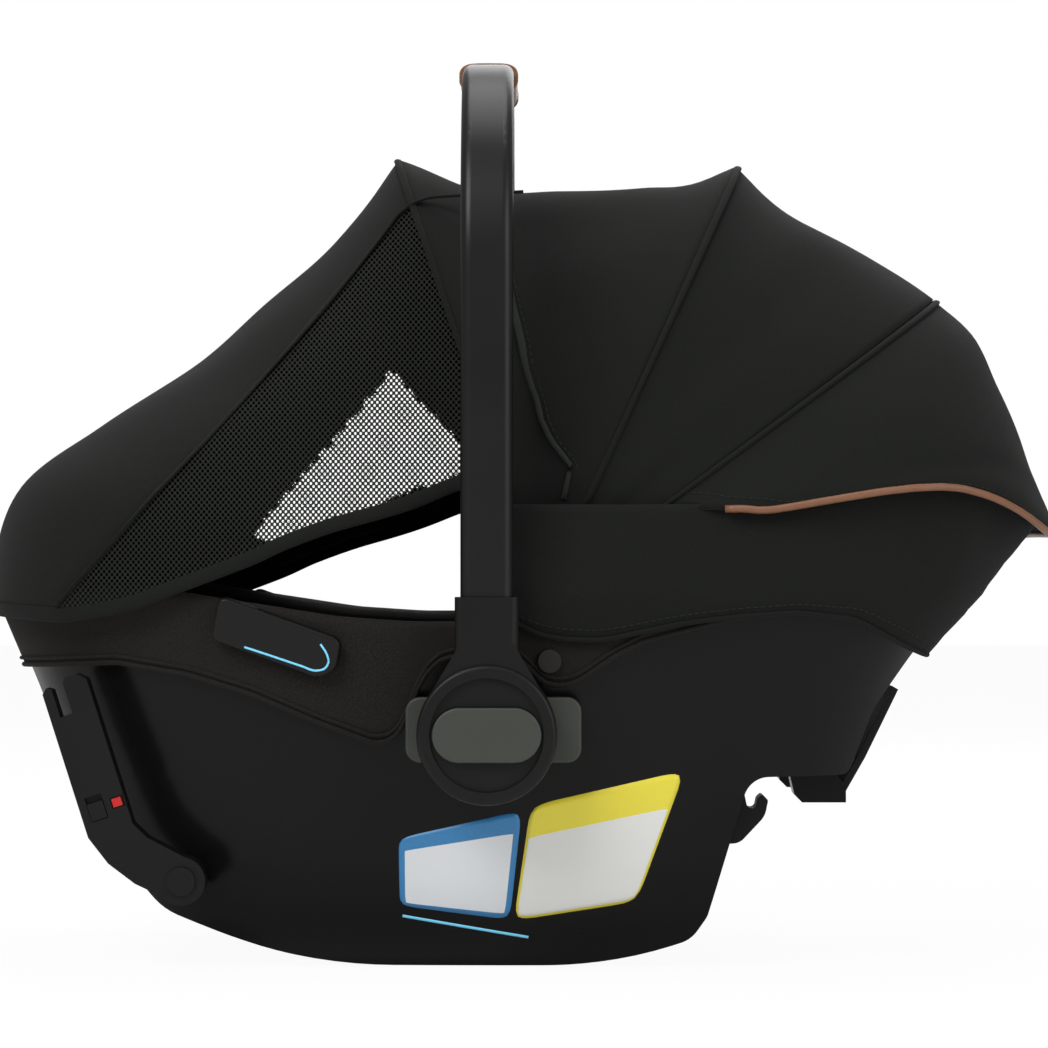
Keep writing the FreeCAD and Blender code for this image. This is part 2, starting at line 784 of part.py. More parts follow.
def build_insert_and_harness():
    pad = float(d.pad_thickness)
    cushion = pad + 15.0
    web = cushion + 0.5
    top = web + 1.6
    insert = layer(pad + 0.4, cushion, (-48, 236), (-98, 98)).common(slab(rim_outline(-2.0), -HALF, HALF))
    keep("infant_insert", shaped("infant_insert", largest(insert)))
    straps, pads, tongues = [], [], []
    for _, side in SIDES:
        straps.append(layer(web, top, (14, 210), span(side, 24, 60)))
        pads.append(layer(top + 0.4, top + 8, (92, 196), span(side, 18, 66)))
        tongues.append(layer(top + 0.4, top + 3.0, (-8, 34), span(side, 4, 56)))
    keep("shoulder_straps", shaped("shoulder_straps", Part.makeCompound(straps)))
    keep("shoulder_pads", shaped("shoulder_pads", Part.makeCompound(pads)))
    keep("buckle_tongues", shaped("buckle_tongues", Part.makeCompound(tongues)))
    clip = layer(top + 0.4, top + 9, (62, 88), (-46, 46))
    keep("chest_clip", shaped("chest_clip", clip))
    keep("crotch_strap", shaped("crotch_strap", layer(web, top, (-76, -14), (-16, 16))))
    surface = 92 + top - 1.5
    buckle = prism("buckle_body", "XY", [(-46, -26), (-12, -29), (-12, 29), (-46, 26)], surface + 4, surface + 24)
    dress(buckle, "Fillet", Size(9.0), along("Z"))
    pocket(buckle, "XY", [(-39.4, -13.4), (-18.6, -13.4), (-18.6, 13.4), (-39.4, 13.4)], surface + 14, surface + 30)
    keep("buckle", buckle)
    button = prism("buckle_key", "XY", [(-39, -13), (-19, -13), (-19, 13), (-39, 13)], surface + 18.4, surface + 26)
    dress(button, "Fillet", Size(2.0), along("Z"))
    keep("buckle_button", button)
    well = layer(pad + 6, pad + 20, (-164.6, -145.4), (-12.6, 12.6))
    adjuster = layer(pad + 0.4, pad + 12, (-172, -138), (-21, 21)).cut(well)
    keep("harness_adjuster", shaped("harness_adjuster", adjuster))
    keep("adjuster_button", shaped("adjuster_button", layer(pad + 9.5, pad + 14.4, (-164, -146), (-12, 12))))
    keep("adjuster_strap", shaped("adjuster_strap", layer(pad + 0.4, pad + 2.0, (-258, -172.4), (-13, 13))))


# -------------------------------------------------------- carry handle

def oval(across, thick, margin=0.0):
    """Half length of the straight part and radius of a flat oval."""
    radius = thick / 2 + margin
    return across / 2 + margin - radius, radius


def draw_oval(sketch, x, y, straight, radius):
    """A flat oval along the sketch's first axis, tied by its two centres and its radius."""
    left = Vector(float(x - straight), float(y), 0)
    right = Vector(float(x + straight), float(y), 0)
    up = Vector(0, float(radius), 0)
    z = Vector(0, 0, 1)
    circle_left = Part.Circle(left, z, float(radius))
    circle_right = Part.Circle(right, z, float(radius))
    sketch.addGeometry(Part.LineSegment(left - up, right - up), False)
    sketch.addGeometry(Part.ArcOfCircle(circle_right, -math.pi / 2, math.pi / 2), False)
    sketch.addGeometry(Part.LineSegment(right + up, left + up), False)
    sketch.addGeometry(Part.ArcOfCircle(circle_left, math.pi / 2, 3 * math.pi / 2), False)
    for first, second in ((0, 1), (1, 2), (2, 3), (3, 0)):
        sketch.addConstraint(Sketcher.Constraint("Tangent", first, 2, second, 1))
    row = sketch.addConstraint(Sketcher.Constraint("Radius", 1, float(radius)))
    if isinstance(radius, Size):
        sketch.setExpression(f"Constraints[{row}]", radius.text)
    tie(sketch, "DistanceX", 1, 3, x + straight)
    tie(sketch, "DistanceY", 1, 3, y)
    tie(sketch, "DistanceX", 3, 3, x - straight)


def oval_bar(label, plane, x, y, across, thick, low, high, margin=0.0):
    """A flat oval padded between two values along the plane's normal."""
    body = doc.addObject("PartDesign::Body", label)
    lift, length = lift_and_length(plane, low, high)
    sketch = sketch_on(body, PLANES[plane], lift, label + "_profile")
    draw_oval(sketch, x, y, *oval(across, thick, margin))
    pad = body.newObject("PartDesign::Pad", label + "_pad")
    pad.Profile = sketch
    bind(pad, "Length", length)
    doc.recompute()
    return body


def build_handle_tube():
    body = doc.addObject("PartDesign::Body", "tube")
    low = d.collar_top_z - d.socket_depth
    profile = sketch_on(body, "XY_Plane", low, "tube_profile")
    draw_oval(profile, d.hub_x, -d.tube_y, *oval(d.tube_width, d.tube_thickness))
    spine = sketch_on(body, "YZ_Plane", d.hub_x, "tube_spine")
    y, z, r = float(d.tube_y), float(d.tube_top_z), float(d.tube_bend)
    up = Vector(0, 0, 1)
    spine.addGeometry(Part.LineSegment(Vector(-y, float(low), 0), Vector(-y, z - r, 0)), False)
    circle = Part.Circle(Vector(-y + r, z - r, 0), up, r)
    spine.addGeometry(Part.ArcOfCircle(circle, math.pi / 2, math.pi), False)
    spine.addGeometry(Part.LineSegment(Vector(-y + r, z, 0), Vector(y - r, z, 0)), False)
    circle = Part.Circle(Vector(y - r, z - r, 0), up, r)
    spine.addGeometry(Part.ArcOfCircle(circle, 0, math.pi / 2), False)
    spine.addGeometry(Part.LineSegment(Vector(y, z - r, 0), Vector(y, float(low), 0)), False)
    for first, first_end, second, second_end in ((0, 2, 1, 2), (1, 1, 2, 1), (2, 2, 3, 2), (3, 1, 4, 1)):
        spine.addConstraint(Sketcher.Constraint("Tangent", first, first_end, second, second_end))
    for arc in (1, 3):
        row = spine.addConstraint(Sketcher.Constraint("Radius", arc, r))
        spine.setExpression(f"Constraints[{row}]", d.tube_bend.text)
    tie(spine, "DistanceX", 0, 1, -d.tube_y)
    tie(spine, "DistanceY", 0, 1, low)
    tie(spine, "DistanceX", 4, 2, d.tube_y)
    tie(spine, "DistanceY", 4, 2, low)
    tie(spine, "DistanceY", 2, 1, d.tube_top_z)
    for line in (0, 4):
        spine.addConstraint(Sketcher.Constraint("Vertical", line))
    pipe = body.newObject("PartDesign::AdditivePipe", "tube_pipe")
    pipe.Profile = profile
    pipe.Spine = (spine, [f"Edge{i}" for i in range(1, 6)])
    doc.recompute()
    keep("handle_tube", body)


def build_grip():
    outer = oval_bar("grip_outer", "XZ", d.hub_x, d.tube_top_z, d.tube_width, d.tube_thickness,
                     -d.grip_half_length, d.grip_half_length, d.grip_thickness)
    inner = oval_bar("grip_inner", "XZ", d.hub_x, d.tube_top_z, d.tube_width, d.tube_thickness,
                     -d.grip_half_length - 5, d.grip_half_length + 5, d.clearance / 4)
    keep("handle_grip", cut("grip_wrap", outer, inner))


def build_hub(name, side):
    low, high = span(side, d.hub_inner_y, d.hub_outer_y)
    face = disc(f"hub_disc_{name}", "XZ", d.hub_x, d.hub_z, d.hub_radius, low, high)
    dress(face, "Fillet", Size(3.0), at_level("Y", high if side > 0 else low))
    half = d.collar_width / 2
    waist = d.hub_radius * 0.78
    neck_y = span(side, d.tube_y - d.collar_thickness / 2, d.tube_y + d.collar_thickness / 2)
    neck = prism(f"hub_neck_{name}", "XZ", [
        (d.hub_x - half, d.collar_top_z),
        (d.hub_x - half, d.collar_low_z + 8),
        (d.hub_x - waist, d.hub_z + waist * 0.8),
        (d.hub_x + waist, d.hub_z + waist * 0.8),
        (d.hub_x + half, d.collar_low_z + 8),
        (d.hub_x + half, d.collar_top_z),
    ], *neck_y)
    dress(neck, "Fillet", Size(5.0), lambda e: along("Z")(e))
    solid = fuse(f"hub_solid_{name}", face, neck)
    dish = rod(f"hub_dish_{name}", d.hub_recess_radius, "Y",
               *span(side, d.hub_outer_y - d.hub_recess, d.hub_outer_y + 1), (d.hub_x, d.hub_z))
    well_floor = d.hub_outer_y + d.handle_button_proud - d.handle_button_depth - d.handle_button_travel
    well = oval_bar(f"hub_well_{name}", "XZ", d.hub_x, d.hub_z, d.handle_button_length, d.handle_button_height,
                    *span(side, well_floor - d.clearance, d.hub_outer_y + 1), d.clearance)
    bore = rod(f"hub_bore_{name}", d.pivot_radius + d.running, "Y",
               *span(side, d.hub_inner_y - 1, well_floor + 1), (d.hub_x, d.hub_z))
    socket = oval_bar(f"hub_socket_{name}", "XY", d.hub_x, side * d.tube_y, d.tube_width, d.tube_thickness,
                      d.collar_top_z - d.socket_depth - d.clearance, d.collar_top_z + 1, d.clearance / 4)
    keep(f"handle_hub_{name}", cut(f"hub_{name}", solid, dish, well, bore, socket))


def build_handle_button(name, side):
    outer = d.hub_outer_y + d.handle_button_proud
    low, high = span(side, outer - d.handle_button_depth, outer)
    key = oval_bar(f"handle_key_{name}", "XZ", d.hub_x, d.hub_z, d.handle_button_length,
                   d.handle_button_height, low, high)
    dress(key, "Fillet", Size(1.5), at_level("Y", high if side > 0 else low))
    keep(f"handle_button_{name}", key)


def build_handle_pivot(name, side):
    """A shaft with a flange inside the shell; the hub turns on its outer end."""
    inside = d.shell_half_width - d.side_draft * (d.widest_z - d.hub_z) - d.shell_wall
    tip = d.hub_outer_y + d.handle_button_proud - d.handle_button_depth - d.handle_button_travel
    shaft = rod(f"pivot_shaft_{name}", d.pivot_radius, "Y",
                *span(side, inside - 5, tip - 2 * d.clearance), (d.hub_x, d.hub_z))
    flange = rod(f"pivot_flange_{name}", d.pivot_radius + 5, "Y",
                 *span(side, inside - 6, inside - 2.5), (d.hub_x, d.hub_z))
    return fuse(f"pivot_{name}", shaft, flange)


def build_adapter(name, side):
    outer = d.hub_inner_y - d.clearance
    low, high = span(side, outer - d.adapter_thickness, outer)
    plate = prism(f"adapter_{name}_plate", "XZ", [
        (d.adapter_foot_x, d.adapter_low_z),
        (d.adapter_head_x, d.adapter_low_z),
        (d.adapter_head_x, d.adapter_high_z),
        (d.adapter_foot_x, d.adapter_high_z),
    ], low, high)
    dress(plate, "Fillet", Size(9.0), along("Y"))
    dress(plate, "Fillet", Size(1.5), at_level("Y", high if side > 0 else low))
    pocket(plate, "XZ", (d.hub_x, d.hub_z, Size(HUB_BOSS) + d.clearance), low - 1, high + 1)
    keep(f"adapter_plate_{name}", plate)


def build_handle():
    build_handle_tube()
    build_grip()
    pivots = []
    for name, side in SIDES:
        build_hub(name, side)
        build_handle_button(name, side)
        build_adapter(name, side)
        pivots.append(build_handle_pivot(name, side))
    keep("handle_pivots", group("handle_pivots", *pivots))


# -------------------------------------------------------- belt guides

GUIDE_YAW = 6.5  # turn of a belt guide to follow the side's plan
GUIDE_LEAN = 8.0  # lean of the side wall there


def guide_place(side):
    turn = Rotation(Vector(0, 0, 1), side * GUIDE_YAW)
    turn = turn * Rotation(Vector(1, 0, 0), side * GUIDE_LEAN * -1) * Rotation(Vector(0, 1, 0), d.guide_tilt)
    return Placement(Vector(d.guide_x, side * 166.6, d.guide_z), turn)


def guide_base(side, grow):
    """The foot of a belt guide, through the cover to the shell."""
    half_x, half_z = d.guide_length / 2 - 12 + grow, d.guide_height / 2 - 6 + grow
    shape = brick((-half_x, half_x), span(side, -14, 1), (-half_z, half_z))
    shape.Placement = guide_place(side)
    return shape


def build_belt_guide(name, side):
    half_x, half_z = d.guide_length / 2, d.guide_height / 2
    outline = [
        (-half_x, half_z - 1, 5),
        (-half_x + 4, -half_z, 6),
        (half_x - 8, -half_z, 12),
        (half_x, -half_z + 10, 10),
        (half_x - 3, half_z, 7),
        (-half_x + 6, half_z, 5),
    ]
    plate = slab([(float(x), float(z), r) for x, z, r in outline], *span(side, 0.6, 7.0))
    rims = [e for e in plate.Edges if abs(abs(e.BoundBox.YMin) - 7.0) < 0.01 and abs(abs(e.BoundBox.YMax) - 7.0) < 0.01]
    plate = plate.makeFillet(2.0, rims)
    plate.Placement = guide_place(side)
    guide = plate.cut(tub(float(d.cover_thickness + 0.4))).fuse(guide_base(side, 0.0).cut(tub(0.3)))
    keep(f"belt_guide_{name}", shaped(f"belt_guide_{name}", guide))


# ------------------------------------------------------ rigid anchors

ROOT_X, ROOT_Z = -32.3, 43.4  # connector's root from the pivot, arm upright


def arm_place(thing, side):
    """Stands an upright arm's piece on the pivot and leans it to its stowed place."""
    thing.Placement = Placement(
        Vector(d.anchor_pivot_x, side * d.anchor_y, d.anchor_pivot_z),
        Rotation(Vector(0, 1, 0), -float(d.anchor_lean)),
    )
    bind(thing, "Placement.Base.x", d.anchor_pivot_x)
    bind(thing, "Placement.Base.y", side * d.anchor_y)
    bind(thing, "Placement.Base.z", d.anchor_pivot_z)
    return thing


def build_anchor(name, side):
    half = d.connector_width / 2
    thick = d.anchor_thickness / 2
    left, right = ROOT_X - half, ROOT_X + half
    top = ROOT_Z + d.connector_length
    slot_left = left + 6.3
    slot_right = slot_left + d.jaw_slot
    arm = prism(f"arm_{name}", "XZ", [
        (left, top - 3),
        (left, Size(ROOT_Z)),
        (left + 7, Size(ROOT_Z - 19.0)),
        (left + 19, Size(ROOT_Z - 36.0)),
        (-4.5, -14.5),
        (13.0, 7.5),
        (right + 6, Size(ROOT_Z - 11.0)),
        (right, Size(ROOT_Z)),
        (right, top - 2),
        (right - 5, top + 3),
        (slot_right + 2, top + 3),
        (slot_right, top),
        (slot_right, top - d.jaw_slot_depth),
        (slot_left, top - d.jaw_slot_depth),
        (slot_left, top - 2),
        (slot_left - 3, top),
    ], -thick, thick)
    eye = disc(f"arm_eye_{name}", "XZ", 0.0, 0.0, d.anchor_eye, -thick, thick)
    hole = rod(f"arm_hole_{name}", d.anchor_pin + d.running, "Y", -thick - 1, thick + 1, (0.0, 0.0))
    hook_slot = box(f"hook_slot_{name}", (slot_right - 1, right - 3), (-3.6, 3.6), (top - 34, top + 8))
    out_low, out_high = span(side, thick - 4, thick + 1)
    window = box(f"window_{name}", (ROOT_X + 5.6, ROOT_X + 14.8), (out_low, out_high), (ROOT_Z + 12.6, ROOT_Z + 19.4))
    well = box(f"release_well_{name}", (ROOT_X - 9.4, ROOT_X + 1.4), (out_low, out_high), (ROOT_Z + 8.6, ROOT_Z + 24.4))
    hook_x, hook_z = slot_right + 6.0, top - 26.0
    hook_pin = rod(f"hook_pin_{name}", Size(2.5), "Y", -3.8, 3.8, (hook_x, hook_z))
    solid = fuse(f"arm_solid_{name}", arm, eye)
    housing = cut(f"arm_housing_{name}", solid, hole, hook_slot, window, well)
    keep(f"anchor_arm_{name}", arm_place(fuse(f"arm_with_pin_{name}", housing, hook_pin), side))
    plate = prism(f"hook_plate_{name}", "XZ", [
        (hook_x - 4.5, hook_z - 5),
        (hook_x + 3.0, hook_z - 5),
        (hook_x + 4.8, hook_z - 2),
        (hook_x + 5, hook_z + 14),
        (hook_x - 1, hook_z + 21),
        (hook_x - 5.4, hook_z + 20),
        (hook_x - 5.4, hook_z + 16),
        (hook_x - 1.5, hook_z + 12),
    ], Size(-3.0), Size(3.0))
    eye_hole = rod(f"hook_hole_{name}", 2.5 + d.running, "Y", -4.0, 4.0, (hook_x, hook_z))
    keep(f"anchor_hook_{name}", arm_place(cut(f"hook_{name}", plate, eye_hole), side))
    flag_y = span(side, thick - 3.6, thick - 0.8)
    flag = box(f"flag_{name}", (ROOT_X + 6.2, ROOT_X + 12.2), flag_y, (ROOT_Z + 13.2, ROOT_Z + 18.8))
    keep(f"anchor_indicator_{name}", arm_place(group(f"indicator_{name}", flag), side))
    key_y = span(side, thick - 3.6, thick + 1.2)
    key = box(f"release_{name}", (ROOT_X - 9.0, ROOT_X + 1.0), key_y, (ROOT_Z + 9.0, ROOT_Z + 20.0))
    keep(f"anchor_release_{name}", arm_place(group(f"release_key_{name}", key), side))


def build_anchors():
    pins = []
    for name, side in SIDES:
        build_anchor(name, side)
        inner = ANCHOR_BOSS_Y + 2
        outer = d.anchor_y + d.anchor_thickness / 2
        across = (d.anchor_pivot_x, d.anchor_pivot_z)
        shaft = rod(f"anchor_shaft_{name}", d.anchor_pin, "Y", *span(side, inner, outer + 2), across)
        head = rod(f"anchor_head_{name}", d.anchor_pin + 3, "Y",
                   *span(side, outer + d.clearance, outer + 2.4), across)
        pins.append(fuse(f"anchor_pin_{name}", shaft, head))
    keep("anchor_pins", group("anchor_pins", *pins))


# ------------------------------------------------------------- canopy

BOW_START = 60.0  # where a bow's arch begins above its pivot


def spoke(angle, across, reach):
    """A point at a distance from the canopy's axis, in the half plane at an angle."""
    a = math.radians(float(angle))
    return Vector(d.canopy_x + reach * math.cos(a), across, d.canopy_z + reach * math.sin(a))


def arch(angle, reach, wide, power, start, steps=12):
    """A smooth arch of a bow or a seam, from one side to the other."""
    points = []
    for i in range(steps + 1):
        t = math.pi * (i / steps - 0.5)
        share_u = math.copysign(abs(math.sin(t)) ** (2 / power), math.sin(t))
        share_v = max(math.cos(t), 0.0) ** (2 / power)
        points.append(spoke(angle, wide * share_u, start + (reach - start) * share_v))
    curve = Part.BSplineCurve()
    curve.interpolate(Points=points)
    return curve.toShape()


def ribbon_wire(outer, inner):
    """A closed wire from two arches, one inside the other."""
    a, b = outer.Vertexes[0].Point, outer.Vertexes[-1].Point
    c, e = inner.Vertexes[0].Point, inner.Vertexes[-1].Point
    return Part.Wire([outer, Part.LineSegment(b, e).toShape(), inner, Part.LineSegment(c, a).toShape()])


def fabric_span(stations, thick):
    """Cloth stretched over arches: (angle, reach, half width, squareness) in turn."""
    wires = []
    for angle, reach, wide, power in stations:
        outer = arch(angle, reach, wide, power, BOW_START)
        inner = arch(angle, reach - thick, wide - thick, power, BOW_START)
        wires.append(ribbon_wire(outer, inner))
    return Part.makeLoft(wires, True, False)


def bow_curve(angle, reach, wide, eye, inset):
    points = [(eye - inset, 0.0), (eye - inset, 10.0), (eye + (wide - eye) * 0.45 - inset, 34.0)]
    for i in range(7):
        t = math.pi / 2 * (1 - i / 6)
        points.append((
            (wide - inset) * math.sin(t) ** (2 / 2.6),
            BOW_START + (reach - inset - BOW_START) * max(math.cos(t), 0.0) ** (2 / 2.6),
        ))
    points = [(-u, v) for u, v in points] + [(u, v) for u, v in reversed(points[:-1])]
    curve = Part.BSplineCurve()
    curve.interpolate(Points=[spoke(angle, u, v) for u, v in points])
    return curve.toShape()


def build_bow(name, angle, reach, wide, eye):
    thick = d.bow_thickness
    outer = bow_curve(angle, reach, wide, eye, 0.0)
    inner = bow_curve(angle, reach, wide, eye, float(thick))
    a = math.radians(float(angle))
    across = Vector(-math.sin(a), 0, math.cos(a))
    face = Part.Face(ribbon_wire(outer, inner))
    face.translate(across * (-float(d.bow_width) / 2))
    strip = face.extrude(across * float(d.bow_width))
    eyes, holes = [], []
    for _, side in SIDES:
        eyes.append(pin(d.bow_pin + 4, d.canopy_x, d.canopy_z, *span(side, eye - thick, eye)))
        holes.append(pin(d.bow_pin + d.running, d.canopy_x, d.canopy_z, *span(side, eye - 30, eye + 30)))
    keep(name, shaped(name, strip.fuse(eyes).cut(holes)))


def build_canopy_frame():
    nest = BOW_NEST
    first = 141.6
    wide = FABRIC_HALF - 6.0
    under = d.fabric + 3.0
    build_bow("canopy_front_bow", d.front_angle, d.front_radius - under, wide, first)
    build_bow("canopy_middle_bow", d.middle_angle, d.middle_radius - under, wide + nest, first + nest)
    build_bow("canopy_rear_bow", d.rear_angle, d.rear_radius - under, wide + 2 * nest, first + 2 * nest)
    mounts, pins = [], []
    face = first + 2 * nest + 0.4
    for name, side in SIDES:
        foot = face + 10.0
        corners = [(face, 196.0), (foot + 0.1, 196.0), (foot + 2.2, 212.0), (face + 6, 216.0), (face + 6, 243.0), (face, 243.0)]
        mount = prism(f"mount_{name}", "YZ", [(side * y, z) for y, z in corners],
                      d.canopy_x - 15, d.canopy_x + 15)
        hole = rod(f"mount_hole_{name}", d.bow_pin + d.running, "Y", *span(side, face - 1, face + 12),
                   (d.canopy_x, d.canopy_z))
        mounts.append(cut(f"mount_body_{name}", mount, hole))
        across = (d.canopy_x, d.canopy_z)
        low = first - d.bow_thickness
        shaft = rod(f"bow_pin_{name}", d.bow_pin, "Y", *span(side, low - 2, face + 5.5), across)
        head = rod(f"bow_pin_head_{name}", d.bow_pin + 3, "Y", *span(side, low - 2.4, low - 0.4), across)
        pins.append(fuse(f"bow_pivot_{name}", shaft, head))
    keep("canopy_mounts", group("canopy_mounts", *mounts))
    keep("canopy_pins", group("canopy_pins", *pins))


def flap_outline():
    """Everything above the flap's piped lower edge."""
    return [
        (100, 291, 0),
        (210, 291, 80),
        (306, 309, 50),
        (352, 292, 30),
        (420, 240, 0),
        (420, 520, 0),
        (100, 520, 0),
    ]


def drape_outline():
    """Everything above the sunshade's bound lower edge."""
    return [
        (-400, 237, 0),
        (-300, 236, 30),
        (-272, 219, 20),
        (-140, 252, 120),
        (90, 338, 0),
        (90, 600, 0),
        (-400, 600, 0),
    ]


BOW_NEST = d.bow_thickness + 1.0  # each bow's arms lie this much further out than the last
FABRIC_HALF = 154.0  # half width of the canopy at its front bow


def flap_stations():
    """The rear flap, from the rear bow to its tip: it spreads out over the head end."""
    wide = FABRIC_HALF
    return [
        (d.rear_angle - 0.2, d.rear_radius, wide + 2 * BOW_NEST, 2.6),
        (d.rear_angle - 5.5, d.flap_radius - 7, wide + 14, 2.8),
        (d.rear_angle - 12.5, d.flap_radius - 11, wide + 21, 3.2),
        (d.flap_angle + 9.8, d.flap_radius - 10, wide + 22.5, 3.5),
        (d.flap_angle + 3.7, d.flap_radius - 6, wide + 22.5, 3.7),
        (d.flap_angle - 1.5, d.flap_radius, wide + 22.5, 3.7),
    ]


def drape_stations():
    """The sunshade, from the front bow down over the foot end."""
    front, far, wide = d.front_radius, d.drape_radius, FABRIC_HALF
    return [
        (d.front_angle + 0.2, front, wide, 2.6),
        (d.front_angle + 5, front - 16.5, wide, 2.6),
        (d.front_angle + 12, front - 31.5, wide + 2, 2.6),
        (d.front_angle + 26, front - 36.5, wide + 8, 2.7),
        (d.drape_angle - 30, far - 84, wide + 14, 2.8),
        (d.drape_angle - 17, far - 45, wide + 19, 3.1),
        (d.drape_angle - 8, far - 8, wide + 22, 3.4),
        (d.drape_angle, far + 2, wide + 22.5, 3.5),
        (d.drape_angle + 7, far + 3.5, wide + 22.5, 3.5),
    ]


def build_canopy_fabric():
    wide, nest = FABRIC_HALF, BOW_NEST
    front, middle, rear = d.front_radius, d.middle_radius, d.rear_radius
    sag = 35.0
    panel = fabric_span([
        (d.front_angle - 0.2, front, wide, 2.6),
        (d.front_angle - 7.5, front - sag * 0.76, wide - 2, 2.6),
        (d.front_angle - 21, front - sag, wide - 3, 2.6),
        (d.middle_angle + 10.5, middle - sag * 0.92, wide - 1, 2.6),
        (d.middle_angle + 3.1, middle - sag * 0.43, wide + 2, 2.6),
        (d.middle_angle + 0.2, middle, wide + nest, 2.6),
    ], d.fabric)
    keep("canopy_front_panel", shaped("canopy_front_panel", panel))
    panel = fabric_span([
        (d.middle_angle - 0.2, middle, wide + nest, 2.6),
        (d.middle_angle - 4.5, middle - 7.5, wide + nest - 1, 2.6),
        (d.middle_angle - 12, middle - 8, wide + nest, 2.6),
        (d.rear_angle + 8.5, rear - 13.5, wide + nest + 2, 2.6),
        (d.rear_angle + 0.2, rear, wide + 2 * nest, 2.6),
    ], d.fabric)
    keep("canopy_middle_panel", shaped("canopy_middle_panel", panel))
    flap = fabric_span(flap_stations(), d.fabric).common(slab(flap_outline(), -HALF, HALF))
    keep("canopy_rear_flap", shaped("canopy_rear_flap", flap))
    drape = fabric_span(drape_stations(), d.fabric).common(slab(drape_outline(), -HALF, HALF))
    keep("sunshade", shaped("sunshade", drape))


# ----------------------------------------------------------- rear end

LEVER_X, LEVER_Z = 231.0, 107.0  # hinge of the release lever
FOOT_Y = (66.4, 92.0)  # a foot block, across


def build_rear_end():
    half = d.lever_half_width
    strip = prism("lever_strip", "XZ", [
        (LEVER_X + 1.5, LEVER_Z - 1.0),
        (LEVER_X + 5.5, LEVER_Z - 2.5),
        (LEVER_X + 19.5, LEVER_Z + 22.0),
        (LEVER_X + 41.0, LEVER_Z + 66.0),
        (LEVER_X + 37.6, LEVER_Z + 68.0),
        (LEVER_X + 16.0, LEVER_Z + 24.5),
    ], -half, half)
    knuckle = rod("lever_knuckle", Size(5.0), "Y", -half, half, (LEVER_X, LEVER_Z))
    hole = rod("lever_hole", Size(2.5) + d.running, "Y", -half - 1, half + 1, (LEVER_X, LEVER_Z))
    keep("release_lever", cut("lever", fuse("lever_solid", strip, knuckle), hole))
    keep("lever_pin", rod("lever_pin", Size(2.5), "Y", Size(-88.0), Size(88.0), (LEVER_X, LEVER_Z)))
    feet = []
    for name, side in SIDES:
        top = d.overhang_z - 0.3
        block = prism(f"foot_{name}", "XZ", [
            (200.0, top), (203.0, 107.0), (208.0, LEVER_Z - 5), (236.0, LEVER_Z - 5), (236.0, LEVER_Z + 4), (230.0, top),
        ], *span(side, *[Size(y) for y in FOOT_Y]))
        hole = rod(f"foot_hole_{name}", Size(2.5) + d.running, "Y", *span(side, Size(60.0), Size(90.0)), (LEVER_X, LEVER_Z))
        feet.append(cut(f"foot_block_{name}", block, hole))
    keep("rear_feet", group("rear_feet", *feet))
    outline = [
        (150, 78, 0), (166, 79, 10), (182, 96, 14), (184, 106, 1.5), (180, 110, 1.5), (177, 107, 4),
        (176, 101, 3), (171, 101, 3), (169, 110, 1), (160, 112, 0), (150, 100, 0),
    ]
    hooks = [slab(outline, *span(side, 112, 132)).cut(tub(0.3)) for _, side in SIDES]
    keep("belt_hooks", shaped("belt_hooks", Part.makeCompound(hooks)))


# -------------------------------------------------------------- write

def build():
    build_shell()
    build_latch_bars()
    build_lining()
    build_skirt()
    build_insert_and_harness()
    build_handle()
    for name, side in SIDES:
        build_belt_guide(name, side)
    build_anchors()
    build_canopy_frame()
    build_canopy_fabric()
    build_rear_end()


def check_and_write():
    doc.recompute()
    failed = [o.Name for o in doc.Objects if "Invalid" in o.State or "Error" in o.State]
    if failed:
        raise ValueError(f"failed objects: {failed}")
    for name, thing in nodes.items():
        if thing.Shape.isNull() or not thing.Shape.isValid() or thing.Shape.Volume <= 0:
            raise ValueError(f"{name} has no sound shape")
    for name, thing in nodes.items():
        thing.Shape.exportStep(f"parts/{name}.step")
        print(f"{name}: {len(thing.Shape.Solids)} solids, {thing.Shape.Volume / 1000:.1f} cm3")


build()
check_and_write()
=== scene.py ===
import math

import bpy
import numpy as np
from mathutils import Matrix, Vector
from mathutils.bvhtree import BVHTree


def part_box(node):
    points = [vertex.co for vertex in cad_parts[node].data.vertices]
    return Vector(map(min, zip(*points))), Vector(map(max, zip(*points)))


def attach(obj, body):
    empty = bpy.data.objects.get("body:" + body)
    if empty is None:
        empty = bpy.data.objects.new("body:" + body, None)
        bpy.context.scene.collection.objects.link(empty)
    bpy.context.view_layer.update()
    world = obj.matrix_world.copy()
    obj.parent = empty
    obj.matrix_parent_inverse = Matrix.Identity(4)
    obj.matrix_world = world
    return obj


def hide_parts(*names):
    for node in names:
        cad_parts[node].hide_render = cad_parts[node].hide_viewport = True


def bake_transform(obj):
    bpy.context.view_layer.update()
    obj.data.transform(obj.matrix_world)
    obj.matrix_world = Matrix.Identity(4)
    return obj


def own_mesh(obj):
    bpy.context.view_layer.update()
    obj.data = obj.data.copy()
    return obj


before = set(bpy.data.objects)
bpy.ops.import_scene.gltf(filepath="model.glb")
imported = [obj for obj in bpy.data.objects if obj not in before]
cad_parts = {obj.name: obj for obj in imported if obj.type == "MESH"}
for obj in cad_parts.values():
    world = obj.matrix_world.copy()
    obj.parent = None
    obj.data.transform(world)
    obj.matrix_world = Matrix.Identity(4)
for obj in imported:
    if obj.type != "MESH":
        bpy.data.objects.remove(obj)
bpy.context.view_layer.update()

bl_info = {
    "name": "Infant Carrier Looks",
    "version": (1, 0, 0),
    "blender": (4, 5, 0),
    "location": "View3D > Sidebar > Carrier",
    "description": "Cloth, padding, trims and finishes of an infant carrier with a canopy",
    "category": "Object",
}

